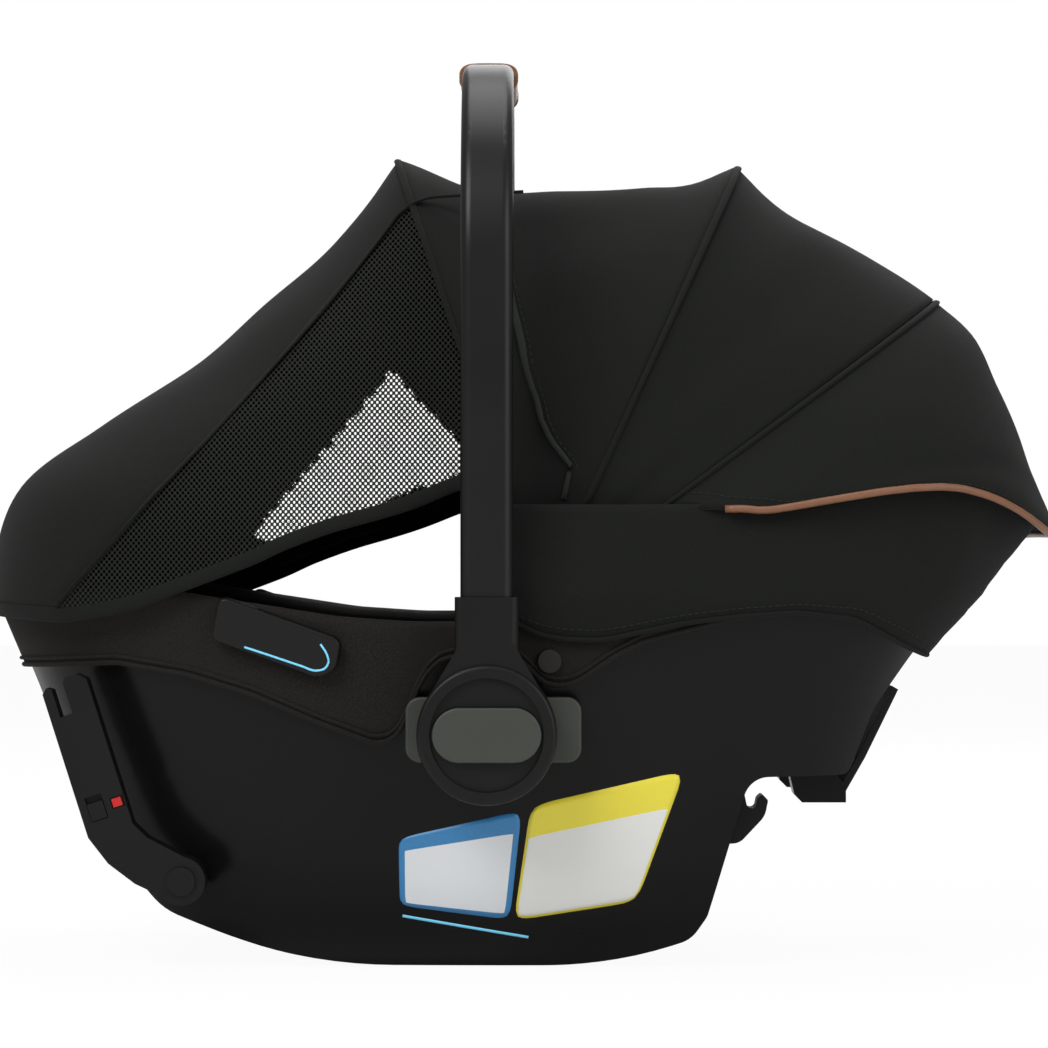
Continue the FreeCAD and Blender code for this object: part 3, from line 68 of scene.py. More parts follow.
PIVOT = (0.043, 0.236)  # the canopy bows' axis, as (x, z)
AXIS = (PIVOT[0], 0.0, PIVOT[1])  # the middle of that axis
ARCH_START = 0.060  # where the arches leave their upright legs, above the axis
TINY = 1e-9  # keeps a division by a length from failing


# ----------------------------------------------------------------- curves

def through(table, value):
    """A smooth reading between the rows of a short table of (place, number)."""
    places = [row[0] for row in table]
    numbers = [row[1] for row in table]
    if places[0] > places[-1]:
        places, numbers = places[::-1], numbers[::-1]
    slopes = np.gradient(numbers, places)
    value = min(max(value, places[0]), places[-1])
    i = min(max(int(np.searchsorted(places, value)) - 1, 0), len(places) - 2)
    width = places[i + 1] - places[i]
    t = (value - places[i]) / width
    a, b = numbers[i], numbers[i + 1]
    p, q = slopes[i] * width, slopes[i + 1] * width
    start = (2 * t**3 - 3 * t**2 + 1) * a + (t**3 - 2 * t**2 + t) * p
    return start + (3 * t**2 - 2 * t**3) * b + (t**3 - t**2) * q


def smooth_line(points, count):
    """Evenly spaced points on a soft line through a few 3D points."""
    points = [Vector(p) for p in points]
    lengths = [0.0]
    for a, b in zip(points, points[1:]):
        lengths.append(lengths[-1] + (b - a).length)
    made = []
    for i in range(count):
        at = lengths[-1] * i / (count - 1)
        made.append(Vector([through([(s, p[k]) for s, p in zip(lengths, points)], at) for k in range(3)]))
    return made


def spoke(angle, across, reach):
    """A point at a distance from the bows' axis; the angle is 0 at the head end and rises over the top."""
    a = math.radians(angle)
    return Vector((PIVOT[0] + reach * math.cos(a), across, PIVOT[1] + reach * math.sin(a)))


def arch_point(stations, angle, turn):
    """A point of the cloth over the bows: turn runs from -90 to 90 degrees across the arch."""
    reach = through([(s[0], s[1]) for s in stations], angle)
    wide = through([(s[0], s[2]) for s in stations], angle)
    power = through([(s[0], s[3]) for s in stations], angle)
    t = math.radians(turn)
    side = math.copysign(abs(math.sin(t)) ** (2 / power), t)
    up = max(math.cos(t), 0.0) ** (2 / power)
    return spoke(angle, wide * side, ARCH_START + (reach - ARCH_START) * up)


def turn_at(stations, angle, reach):
    """The turn across an arch at which the cloth is that far from the axis."""
    top = through([(s[0], s[1]) for s in stations], angle)
    power = through([(s[0], s[3]) for s in stations], angle)
    share = min(max((reach - ARCH_START) / (top - ARCH_START), 0.0), 1.0)
    return math.degrees(math.acos(share ** (power / 2)))


# The canopy's cloth as a few arches, each (angle, distance from the axis, half width, squareness).
FRONT_PANEL = [
    (108.3, 0.2975, 0.154, 2.6), (101.0, 0.2708, 0.152, 2.6), (87.5, 0.2622, 0.151, 2.6),
    (76.0, 0.2727, 0.153, 2.6), (68.6, 0.2898, 0.156, 2.6), (65.7, 0.305, 0.158, 2.6),
]
MIDDLE_PANEL = [
    (65.3, 0.305, 0.158, 2.6), (61.0, 0.2975, 0.157, 2.6), (53.5, 0.297, 0.158, 2.6),
    (45.0, 0.306, 0.160, 2.6), (36.7, 0.3195, 0.162, 2.6),
]
REAR_FLAP = [
    (36.3, 0.3195, 0.162, 2.6), (31.0, 0.327, 0.168, 2.8), (24.0, 0.323, 0.175, 3.2),
    (17.8, 0.324, 0.1765, 3.5), (11.7, 0.328, 0.1765, 3.7), (6.5, 0.334, 0.1765, 3.7),
    (4.0, 0.334, 0.1765, 3.7),
]
SUNSHADE = [
    (108.7, 0.2975, 0.154, 2.6), (113.5, 0.281, 0.154, 2.6), (120.5, 0.266, 0.156, 2.6),
    (134.5, 0.261, 0.162, 2.7), (147.0, 0.271, 0.168, 2.8), (160.0, 0.310, 0.173, 3.1),
    (169.0, 0.347, 0.176, 3.4), (177.0, 0.357, 0.1765, 3.5), (184.0, 0.3585, 0.1765, 3.5),
    (188.0, 0.3585, 0.1765, 3.5),
]
FLAP_EDGE = [  # (angle, distance from the axis) of the flap's piped edge, from the rear bow to its tip
    (36.3, 0.090), (23.7, 0.132), (19.8, 0.158), (17.9, 0.1947), (16.4, 0.2313), (14.9, 0.2596),
    (13.0, 0.2797), (9.9, 0.3035), (7.4, 0.319), (6.2, 0.327),
]
SHADE_EDGE = [  # the sunshade's bound edge, from the front bow to the foot end
    (108.7, 0.078), (128.3, 0.083), (160.9, 0.128), (169.7, 0.161), (175.0, 0.187), (178.4, 0.214),
    (181.0, 0.242), (182.8, 0.272), (183.4, 0.3015),
]
WINDOW_LINE = [  # where the sunshade's solid middle meets its net side, in side view as (x, z)
    (0.030, 0.490), (-0.009, 0.488), (-0.029, 0.487), (-0.039, 0.484), (-0.050, 0.475), (-0.0775, 0.440),
    (-0.1175, 0.391), (-0.174, 0.326), (-0.201, 0.297), (-0.225, 0.269), (-0.262, 0.228),
]
FAR_WINDOW = [  # the clear net on the far side
    (-0.062, 0.386), (-0.001, 0.322), (-0.142, 0.262), (-0.160, 0.272),
]
ARCH_STEPS = 120  # how finely an arch is drawn before its points are evened out
TUCK = 0.012  # how far a panel's cloth runs on past the ends of its arch


def even_row(points, count, loop=False):
    """The same line with its points evenly spaced."""
    points = [Vector(p) for p in points]
    if loop:
        points.append(points[0])
    steps = [0.0]
    for a, b in zip(points, points[1:]):
        steps.append(steps[-1] + (b - a).length)
    made = []
    for i in range(count):
        at = steps[-1] * i / (count if loop else count - 1)
        k = min(max(int(np.searchsorted(steps, at, side="right")) - 1, 0), len(points) - 2)
        made.append(points[k].lerp(points[k + 1], (at - steps[k]) / max(steps[k + 1] - steps[k], TINY)))
    return made


def cloth_rows(stations, first, last, rows, columns, edge=None, tip=0.0):
    """Cloth over the bows from one angle to another, as rows across; an edge limits how far down it hangs."""
    made = []
    for i in range(rows + 1):
        r = i / rows
        angle = first + (last - first) * r
        limit = turn_at(stations, angle, through(edge, angle)) if edge else 90.0
        line = []
        for j in range(ARCH_STEPS + 1):
            c = 2 * j / ARCH_STEPS - 1
            line.append(arch_point(stations, angle + tip * r**3 * (1 - c * c), c * limit))
        if not edge:
            line = [line[0] + (line[1] - line[0]).normalized() * -TUCK] + line
            line.append(line[-1] + (line[-1] - line[-2]).normalized() * TUCK)
        made.append(even_row(line, columns))
    return made


def rippled(rows, amount, waves, centre, slant=0.0, start=0.0):
    """Soft folds along a cloth's columns, from two waves out of step, that fade towards both ends."""
    high, wide = len(rows) - 1, len(rows[0]) - 1
    made = []
    for i, row in enumerate(rows):
        r = i / high
        line = []
        for j, p in enumerate(row):
            c = j / wide
            out = (Vector(p) - Vector(centre)).normalized()
            fold = math.sin(2 * math.pi * (waves * c + slant * r) + 1.7 * math.sin(5 * r + 3 * c))
            fold += 0.5 * math.sin(2 * math.pi * (waves * 1.7 * c - slant * r) + 2.0)
            line.append(Vector(p) + out * amount * fold * math.sin(math.pi * (start + (1 - start) * r)))
        made.append(line)
    return made


TUB_CENTRE = 0.027  # middle of the shell's plan outline
TUB_HALF = 0.170  # half width at the widest height
TUB_WIDEST = 0.235  # that height
TUB_LEAN = 0.14  # narrowing above and below it, for each unit of height
SOLE_TUCK = 0.026  # further narrowing at the very bottom
SOLE_HEIGHT = 0.060  # height below which that narrowing starts
TUB_CORNER = 2 / 3  # power that squares the plan's corners
# Reach of the plan from its middle, and where the end walls cut it, as (height, length along X).
FOOT_REACH = [(-0.040, 0.227), (0.034, 0.253), (0.082, 0.282), (0.180, 0.319), (0.235, 0.339), (0.340, 0.347)]
HEAD_REACH = [(-0.040, 0.182), (0.070, 0.204), (0.124, 0.248), (0.163, 0.254), (0.197, 0.272), (0.235, 0.300),
              (0.340, 0.374)]
FOOT_WALL = [(0.082, -0.243), (0.180, -0.283), (0.226, -0.303), (0.330, -0.308)]
HEAD_WALL = [(0.125, 0.236), (0.163, 0.252), (0.197, 0.277), (0.236, 0.313), (0.330, 0.392)]
# Lines round the tub, drawn in side view as (x, z).
RIM = [(-0.420, 0.243), (-0.270, 0.243), (-0.225, 0.240), (-0.150, 0.228), (-0.085, 0.218), (-0.040, 0.215),
       (0.070, 0.215), (0.115, 0.2205), (0.180, 0.241), (0.240, 0.2595), (0.300, 0.276), (0.340, 0.284),
       (0.430, 0.284)]
SKIRT_HEM = [(0.027, 0.226), (0.033, 0.214), (0.046, 0.209), (0.078, 0.2076), (0.1275, 0.2182),
             (0.164, 0.2226), (0.200, 0.225), (0.237, 0.2207), (0.2545, 0.2113), (0.270, 0.203),
             (0.285, 0.1967), (0.400, 0.1967)]
SKIRT_TOP = [(0.027, 0.292), (0.200, 0.292), (0.250, 0.300), (0.290, 0.311), (0.326, 0.311), (0.352, 0.286),
             (0.440, 0.284)]
COVER_HEM = [(-0.420, 0.186), (-0.305, 0.189), (-0.225, 0.193), (-0.180, 0.186), (-0.140, 0.174),
             (-0.100, 0.157), (-0.062, 0.143), (-0.050, 0.146), (-0.043, 0.158), (-0.034, 0.182),
             (-0.026, 0.193), (-0.016, 0.198), (0.026, 0.198), (0.038, 0.186), (0.044, 0.180), (0.055, 0.179),
             (0.064, 0.182), (0.085, 0.197), (0.104, 0.207), (0.150, 0.219), (0.260, 0.240), (0.330, 0.262),
             (0.440, 0.262)]


def straight(table, value):
    """A straight reading between the rows of a table."""
    return float(np.interp(value, [row[0] for row in table], [row[1] for row in table]))


def tub_point(turn, z, grow):
    """A point on the tub's wall, moved outwards; turn is 0 at the head end and 180 at the foot end."""
    t = math.radians(turn)
    half = TUB_HALF - TUB_LEAN * abs(z - TUB_WIDEST) - SOLE_TUCK * max(1 - z / SOLE_HEIGHT, 0.0) ** 2 + grow
    reach = (straight(HEAD_REACH, z) if math.cos(t) > 0 else straight(FOOT_REACH, z)) + grow
    x = TUB_CENTRE + reach * math.copysign(abs(math.cos(t)) ** TUB_CORNER, math.cos(t))
    y = half * math.copysign(abs(math.sin(t)) ** TUB_CORNER, math.sin(t))
    x = min(max(x, straight(FOOT_WALL, z) - grow), straight(HEAD_WALL, z) + grow)
    return Vector((x, y, z))


def on_line(turn, table, grow, lift=0.0):
    """Where the wall meets a line that is drawn in side view as (x, z)."""
    z = 0.24  # a first guess, near the rim, that the rounds below settle
    for _ in range(6):
        z = straight(table, tub_point(turn, z, grow).x) + lift
    return tub_point(turn, z, grow)


# ----------------------------------------------------------------- meshes

def clear_selection():
    """Leaves nothing selected."""
    for thing in list(bpy.context.selected_objects):
        thing.select_set(False)


def only(thing):
    """Selects one piece and nothing else."""
    clear_selection()
    thing.select_set(True)
    bpy.context.view_layer.objects.active = thing


def edit_all(thing, operator, **settings):
    """Runs one edit mode operator on all of a piece's mesh."""
    only(thing)
    bpy.ops.object.mode_set(mode="EDIT")
    bpy.ops.mesh.select_all(action="SELECT")
    operator(**settings)
    bpy.ops.object.mode_set(mode="OBJECT")


def mesh_object(name, points, faces, uvs=None):
    """A mesh piece from points, faces and one (u, v) for each point, in metres."""
    mesh = bpy.data.meshes.new(name)
    mesh.from_pydata([tuple(p) for p in points], [], faces)
    thing = bpy.data.objects.new(name, mesh)
    bpy.context.scene.collection.objects.link(thing)
    if uvs is not None:
        layer = mesh.uv_layers.new(name="UVMap")
        for loop in mesh.loops:
            layer.data[loop.index].uv = uvs[loop.vertex_index]
    mesh.shade_smooth()
    return thing


def grid_object(name, rows, loop=False):
    """A mesh piece from rows of points. Its UV map is in metres along and across the rows."""
    count = len(rows[0])
    points = [Vector(p) for row in rows for p in row]
    down = [0.0]
    for a, b in zip(rows, rows[1:]):
        middle = count // 2
        down.append(down[-1] + (Vector(b[middle]) - Vector(a[middle])).length)
    uvs = []
    for i, row in enumerate(rows):
        along = 0.0
        for j in range(count):
            if j:
                along += (Vector(row[j]) - Vector(row[j - 1])).length
            uvs.append((along, down[i]))
    faces = []
    for i in range(len(rows) - 1):
        for j in range(count if loop else count - 1):
            k = (j + 1) % count
            faces.append((i * count + j, i * count + k, (i + 1) * count + k, (i + 1) * count + j))
    return mesh_object(name, points, faces, uvs)


def face_outwards(thing, centre):
    """Turns the whole sheet over if most of it faces the given point."""
    vote = sum((p.center - Vector(centre)).dot(p.normal) * p.area for p in thing.data.polygons)
    if vote < 0:
        thing.data.flip_normals()
    return thing


def apply_modifier(thing, kind, **settings):
    """Adds a modifier with these settings and applies it."""
    only(thing)
    made = thing.modifiers.new(kind.title(), kind)
    for key, value in settings.items():
        setattr(made, key, value)
    bpy.ops.object.modifier_apply(modifier=made.name)
    return thing


def thicken(thing, thickness):
    """Gives a sheet its thickness, inwards from its outer face."""
    return apply_modifier(thing, "SOLIDIFY", thickness=thickness, offset=-1.0, use_even_offset=False)


def soften(thing):
    """Rounds a piece by one step of subdivision."""
    return apply_modifier(thing, "SUBSURF", levels=1, render_levels=1)


def tube(name, path, radius, loop=False, flat=1.0, sides=8):
    """A thin piped edge or thread that follows a path."""
    path = [Vector(p) for p in path]
    count = len(path)
    points, faces, uvs = [], [], []
    along = 0.0
    up = Vector((0, 0, 1))
    for i, here in enumerate(path):
        if loop:
            way = (path[(i + 1) % count] - path[i - 1]).normalized()
        else:
            way = (path[min(i + 1, count - 1)] - path[max(i - 1, 0)]).normalized()
        right = way.cross(up)
        if right.length < 1e-3:
            right = way.cross(Vector((0, 1, 0)))
        right.normalize()
        over = right.cross(way).normalized()
        if i:
            along += (here - path[i - 1]).length
        for k in range(sides):
            a = 2 * math.pi * k / sides
            points.append(here + right * math.cos(a) * radius * flat + over * math.sin(a) * radius)
            uvs.append((along, k / sides * 2 * math.pi * radius))
    for i in range(count if loop else count - 1):
        n = (i + 1) % count
        for k in range(sides):
            m = (k + 1) % sides
            faces.append((i * sides + k, i * sides + m, n * sides + m, n * sides + k))
    if not loop:
        faces.append(tuple(range(sides))[::-1])
        faces.append(tuple((count - 1) * sides + k for k in range(sides)))
    made = mesh_object(name, points, faces, uvs)
    vote = 0.0
    for p in made.data.polygons[:64]:
        vote += (p.center - path[min(p.vertices[0] // sides, count - 1)]).dot(p.normal)
    if vote < 0:
        made.data.flip_normals()
    return made


STITCH_SIDES = 5
STITCH_SHAPE = ((0.0, 0.45), (0.25, 1.0), (0.75, 1.0), (1.0, 0.45))  # (share of the length, of the radius)


def stitches(name, path, length, radius, gap):
    """Topstitching: one thread modelled once, and copied along a path."""
    path = [Vector(p) for p in path]
    steps = [0.0]
    for a, b in zip(path, path[1:]):
        steps.append(steps[-1] + (b - a).length)
    count = int(steps[-1] / (length + gap))
    points, faces = [], []
    for s in range(count):
        low = (s + 0.5) * (length + gap) - length / 2
        ends = []
        for at in (low, low + length):
            i = min(max(int(np.searchsorted(steps, at)) - 1, 0), len(path) - 2)
            ends.append(path[i].lerp(path[i + 1], (at - steps[i]) / max(steps[i + 1] - steps[i], TINY)))
        way = (ends[1] - ends[0]).normalized()
        right = way.cross(Vector((0.3, 0.5, 0.8))).normalized()
        over = right.cross(way)
        base = len(points)
        for share, size in STITCH_SHAPE:
            for k in range(STITCH_SIDES):
                a = 2 * math.pi * k / STITCH_SIDES
                here = ends[0].lerp(ends[1], share)
                points.append(here + (right * math.cos(a) + over * math.sin(a)) * radius * size)
        last = base + (len(STITCH_SHAPE) - 1) * STITCH_SIDES
        for at in range(base, last, STITCH_SIDES):
            for k in range(STITCH_SIDES):
                m = (k + 1) % STITCH_SIDES
                faces.append((at + k, at + STITCH_SIDES + k, at + STITCH_SIDES + m, at + m))
        faces.append(tuple(base + k for k in range(STITCH_SIDES)))
        faces.append(tuple(last + k for k in range(STITCH_SIDES))[::-1])
    made = mesh_object(name, points, faces, [(0.0, 0.0)] * len(points))
    edit_all(made, bpy.ops.mesh.normals_make_consistent, inside=False)
    return made


# -------------------------------------------------------------- materials

def new_group(name, inputs, outputs):
    """A shader node group with named sockets, and the two nodes at its ends."""
    group = bpy.data.node_groups.new(name, "ShaderNodeTree")
    for label, kind, default in inputs:
        socket = group.interface.new_socket(label, in_out="INPUT", socket_type=kind)
        if default is not None:
            socket.default_value = default
    for label, kind in outputs:
        group.interface.new_socket(label, in_out="OUTPUT", socket_type=kind)
    return group, group.nodes.new("NodeGroupInput"), group.nodes.new("NodeGroupOutput")


def put(tree, kind, settings=None, **inputs):
    """Adds a node, sets its properties and its sockets; a socket given as an input is linked."""
    node = tree.nodes.new(kind)
    for key, value in (settings or {}).items():
        setattr(node, key, value)
    for key, value in inputs.items():
        name = key.replace("_", " ")
        socket = node.inputs[int(key[1:])] if key[0] == "i" and key[1:].isdigit() else node.inputs[name]
        if isinstance(value, bpy.types.NodeSocket):
            tree.links.new(value, socket)
        else:
            socket.default_value = value
    return node


def calc(tree, operation, *values):
    """The result of a Math node on sockets or numbers."""
    settings = {"operation": operation}
    return put(tree, "ShaderNodeMath", settings, **{f"i{k}": v for k, v in enumerate(values)}).outputs[0]


def weave_group():
    """Crossing threads: a height for the bump and a shade that varies from yarn to yarn."""
    if "cloth_weave" in bpy.data.node_groups:
        return bpy.data.node_groups["cloth_weave"]
    group, enter, leave = new_group(
        "cloth_weave",
        [("Vector", "NodeSocketVector", None), ("Threads", "NodeSocketFloat", 1200.0),
         ("Slub", "NodeSocketFloat", 0.5)],
        [("Height", "NodeSocketFloat"), ("Shade", "NodeSocketFloat")],
    )
    split = put(group, "ShaderNodeSeparateXYZ", i0=enter.outputs["Vector"])
    warp = calc(group, "SINE", calc(group, "MULTIPLY", split.outputs[0], enter.outputs["Threads"]))
    weft = calc(group, "SINE", calc(group, "MULTIPLY", split.outputs[1], enter.outputs["Threads"]))
    cross = calc(group, "MULTIPLY", warp, weft)
    stretched = put(group, "ShaderNodeMapping", {"vector_type": "POINT"}, Vector=enter.outputs["Vector"],
                    Scale=(9.0, 1.0, 1.0))
    slub = put(group, "ShaderNodeTexNoise", Vector=stretched.outputs[0], Scale=260.0, Detail=3.0,
               Roughness=0.6)
    height = calc(group, "ADD", cross, calc(group, "MULTIPLY", slub.outputs[0], 0.8))
    group.links.new(height, leave.inputs["Height"])
    blotch = put(group, "ShaderNodeTexNoise", Vector=enter.outputs["Vector"], Scale=900.0, Detail=2.0)
    from_slub = calc(group, "MULTIPLY", slub.outputs[0], enter.outputs["Slub"])
    rest = calc(group, "SUBTRACT", 1.0, enter.outputs["Slub"])
    mixed = calc(group, "ADD", from_slub, calc(group, "MULTIPLY", blotch.outputs[0], rest))
    group.links.new(calc(group, "MULTIPLY_ADD", mixed, 2.4, -0.7), leave.inputs["Shade"])
    return group


def grain_group():
    """Moulded plastic: a fine spark-eroded texture and slow changes of gloss."""
    if "moulded_grain" in bpy.data.node_groups:
        return bpy.data.node_groups["moulded_grain"]
    group, enter, leave = new_group(
        "moulded_grain",
        [("Vector", "NodeSocketVector", None), ("Grain", "NodeSocketFloat", 1800.0)],
        [("Height", "NodeSocketFloat"), ("Gloss", "NodeSocketFloat")],
    )
    fine = put(group, "ShaderNodeTexNoise", Vector=enter.outputs["Vector"], Scale=enter.outputs["Grain"],
               Detail=2.0, Roughness=0.55)
    slow = put(group, "ShaderNodeTexNoise", Vector=enter.outputs["Vector"], Scale=14.0, Detail=3.0)
    group.links.new(fine.outputs[0], leave.inputs["Height"])
    group.links.new(slow.outputs[0], leave.inputs["Gloss"])
    return group


def shaded(name):
    """A material with a Principled shader, and its tree."""
    made = bpy.data.materials.new(name)
    made.use_nodes = True
    return made, made.node_tree, made.node_tree.nodes["Principled BSDF"]


def mix_colours(tree, factor, a, b):
    """A colour between two others, each of them a socket or a value."""
    node = put(tree, "ShaderNodeMix", {"data_type": "RGBA", "clamp_factor": True})
    tree.links.new(factor, node.inputs[0])
    for socket, value in ((node.inputs[6], a), (node.inputs[7], b)):
        if isinstance(value, bpy.types.NodeSocket):
            tree.links.new(value, socket)
        else:
            socket.default_value = (*value[:3], 1.0)
    return node.outputs[2]


def bump(tree, shader, height, strength, distance):
    """Lets a height shade a material's surface."""
    node = put(tree, "ShaderNodeBump", Height=height, Strength=strength, Distance=distance)
    tree.links.new(node.outputs[0], shader.inputs["Normal"])


def cloth(name, dark, light, threads, slub, sheen, roughness=0.92, uv=True):
    """Woven or knitted cloth with yarns of two close colours."""
    made, tree, shader = shaded(name)
    coords = put(tree, "ShaderNodeTexCoord")
    place = coords.outputs["UV" if uv else "Object"]
    weave = put(tree, "ShaderNodeGroup", {"node_tree": weave_group()}, Vector=place, Threads=threads,
                Slub=slub)
    tree.links.new(mix_colours(tree, weave.outputs["Shade"], dark, light), shader.inputs["Base Color"])
    bump(tree, shader, weave.outputs["Height"], 0.35, 0.0004)
    shader.inputs["Roughness"].default_value = roughness
    shader.inputs["Specular IOR Level"].default_value = 0.12
    shader.inputs["Sheen Weight"].default_value = sheen
    shader.inputs["Sheen Roughness"].default_value = 0.45
    return made


def net(name, colours, cell):
    """Warp-knitted net: round holes in staggered rows where the window attribute is positive, else cloth."""
    made, tree, shader = shaded(name)
    coords = put(tree, "ShaderNodeTexCoord")
    split = put(tree, "ShaderNodeSeparateXYZ", i0=coords.outputs["UV"])
    u = calc(tree, "MULTIPLY", split.outputs[0], 2 * math.pi / cell)
    v = calc(tree, "MULTIPLY", split.outputs[1], 2 * math.pi / (cell * 1.15))
    a = calc(tree, "COSINE", calc(tree, "ADD", u, v))
    b = calc(tree, "COSINE", calc(tree, "SUBTRACT", u, v))
    holes = calc(tree, "ADD", a, b)
    window = put(tree, "ShaderNodeAttribute", {"attribute_name": "window"})
    limit = put(tree, "ShaderNodeAttribute", {"attribute_name": "thread"})
    inside = calc(tree, "GREATER_THAN", window.outputs["Fac"], 0.0)
    open_here = calc(tree, "MULTIPLY", inside, calc(tree, "GREATER_THAN", holes, limit.outputs["Fac"]))
    tree.links.new(calc(tree, "SUBTRACT", 1.0, open_here), shader.inputs["Alpha"])
    weave = put(tree, "ShaderNodeGroup", {"node_tree": weave_group()}, Vector=coords.outputs["UV"],
                Threads=9000.0, Slub=0.55)
    dark, light, deep, bright = colours
    solid = mix_colours(tree, weave.outputs["Shade"], dark, light)
    ridges = mix_colours(tree, calc(tree, "MULTIPLY_ADD", holes, -0.3, 0.35), deep, bright)
    tree.links.new(mix_colours(tree, inside, solid, ridges), shader.inputs["Base Color"])
    relief = calc(tree, "MULTIPLY", inside, calc(tree, "MULTIPLY", holes, -2.0))
    height = calc(tree, "ADD", weave.outputs["Height"], relief)
    bump(tree, shader, height, 0.35, 0.0004)
    shader.inputs["Roughness"].default_value = 0.9
    shader.inputs["Specular IOR Level"].default_value = 0.12
    shader.inputs["Sheen Weight"].default_value = 0.03
    return made


def plastic(name, colour, roughness, grain=1800.0, strength=0.08, gloss=0.3):
    """Moulded plastic with a fine grain and a slightly uneven gloss."""
    made, tree, shader = shaded(name)
    coords = put(tree, "ShaderNodeTexCoord")
    texture = put(tree, "ShaderNodeGroup", {"node_tree": grain_group()}, Vector=coords.outputs["Object"],
                  Grain=grain)
    light = [min(c * 1.3 + 0.001, 1.0) for c in colour]
    tree.links.new(mix_colours(tree, texture.outputs["Gloss"], colour, light), shader.inputs["Base Color"])
    tree.links.new(calc(tree, "MULTIPLY_ADD", texture.outputs["Gloss"], 0.12, roughness - 0.06),
                   shader.inputs["Roughness"])
    bump(tree, shader, texture.outputs["Height"], strength, 0.0003)
    shader.inputs["Specular IOR Level"].default_value = gloss
    return made


def leather(name, dark, light):
    """Smooth leather with a fine pebbled grain and darker creases."""
    made, tree, shader = shaded(name)
    coords = put(tree, "ShaderNodeTexCoord")
    cells = put(tree, "ShaderNodeTexVoronoi", {"feature": "DISTANCE_TO_EDGE"},
                Vector=coords.outputs["Object"], Scale=900.0)
    tone = put(tree, "ShaderNodeTexNoise", Vector=coords.outputs["Object"], Scale=90.0, Detail=4.0)
    tree.links.new(mix_colours(tree, tone.outputs[0], dark, light), shader.inputs["Base Color"])
    bump(tree, shader, calc(tree, "MINIMUM", cells.outputs[0], 0.12), 0.4, 0.0006)
    tree.links.new(calc(tree, "MULTIPLY_ADD", tone.outputs[0], 0.2, 0.38), shader.inputs["Roughness"])
    shader.inputs["Coat Weight"].default_value = 0.08
    return made


def metal(name, colour, roughness):
    """Zinc-plated steel, faintly brushed."""
    made, tree, shader = shaded(name)
    coords = put(tree, "ShaderNodeTexCoord")
    brushed = put(tree, "ShaderNodeMapping", Vector=coords.outputs["Object"], Scale=(1.0, 1.0, 12.0))
    tone = put(tree, "ShaderNodeTexNoise", Vector=brushed.outputs[0], Scale=500.0, Detail=3.0)
    light = [min(c * 1.2, 1.0) for c in colour]
    tree.links.new(mix_colours(tree, tone.outputs[0], colour, light), shader.inputs["Base Color"])
    rough = calc(tree, "MULTIPLY_ADD", tone.outputs[0], 0.12, roughness - 0.06)
    tree.links.new(rough, shader.inputs["Roughness"])
    shader.inputs["Metallic"].default_value = 1.0
    bump(tree, shader, tone.outputs[0], 0.05, 0.0002)
    return made


def foam(name, colour):
    """Expanded foam beads, pressed against one another."""
    made, tree, shader = shaded(name)
    coords = put(tree, "ShaderNodeTexCoord")
    beads = put(tree, "ShaderNodeTexVoronoi", {"feature": "DISTANCE_TO_EDGE"},
                Vector=coords.outputs["Object"], Scale=280.0)
    edge = calc(tree, "MINIMUM", calc(tree, "MULTIPLY", beads.outputs[0], 6.0), 1.0)
    dark = [c * 0.7 for c in colour]
    tree.links.new(mix_colours(tree, edge, dark, colour), shader.inputs["Base Color"])
    bump(tree, shader, edge, 0.3, 0.0008)
    shader.inputs["Roughness"].default_value = 0.85
    return made


def sticker(name, paper, ink, line, low, high):
    """A blank printed film: a plain field with a coloured rim, and a coloured band above it."""
    made, tree, shader = shaded(name)
    coords = put(tree, "ShaderNodeTexCoord")
    split = put(tree, "ShaderNodeSeparateXYZ", i0=coords.outputs["UV"])
    u, v = split.outputs[0], split.outputs[1]
    inside = None
    for value, a, b in ((u, line, 1 - line), (v, low, high)):
        above = calc(tree, "GREATER_THAN", value, a)
        below = calc(tree, "LESS_THAN", value, b)
        both = calc(tree, "MULTIPLY", above, below)
        inside = both if inside is None else calc(tree, "MULTIPLY", inside, both)
    fibre = put(tree, "ShaderNodeTexNoise", Vector=coords.outputs["Object"], Scale=600.0, Detail=2.0)
    inked = mix_colours(tree, inside, ink, paper)
    soft = mix_colours(tree, calc(tree, "MULTIPLY", fibre.outputs[0], 0.08), inked, (0.5, 0.5, 0.5))
    tree.links.new(soft, shader.inputs["Base Color"])
    bump(tree, shader, fibre.outputs[0], 0.05, 0.0001)
    shader.inputs["Roughness"].default_value = 0.38
    return made


def paint(thing, made):
    """One finish all over a piece."""
    thing.data.materials.clear()
    thing.data.materials.append(made)
    return thing


def dress(node, made):
    """Gives a CAD piece its finish."""
    for slot in bpy.data.objects[node].material_slots:
        slot.material = made


def copy_of(node, name):
    """A merged copy of a CAD piece's mesh, to be worked into a soft one."""
    source = bpy.data.objects[node]
    thing = bpy.data.objects.new(name, source.data.copy())
    bpy.context.scene.collection.objects.link(thing)
    edit_all(thing, bpy.ops.mesh.remove_doubles, threshold=0.0001)
    return thing


FILLING_FRAMES = 10  # frames that a cushion's filling is simulated for
COVER_STIFFNESS = 30  # of the cushion's cover while it fills


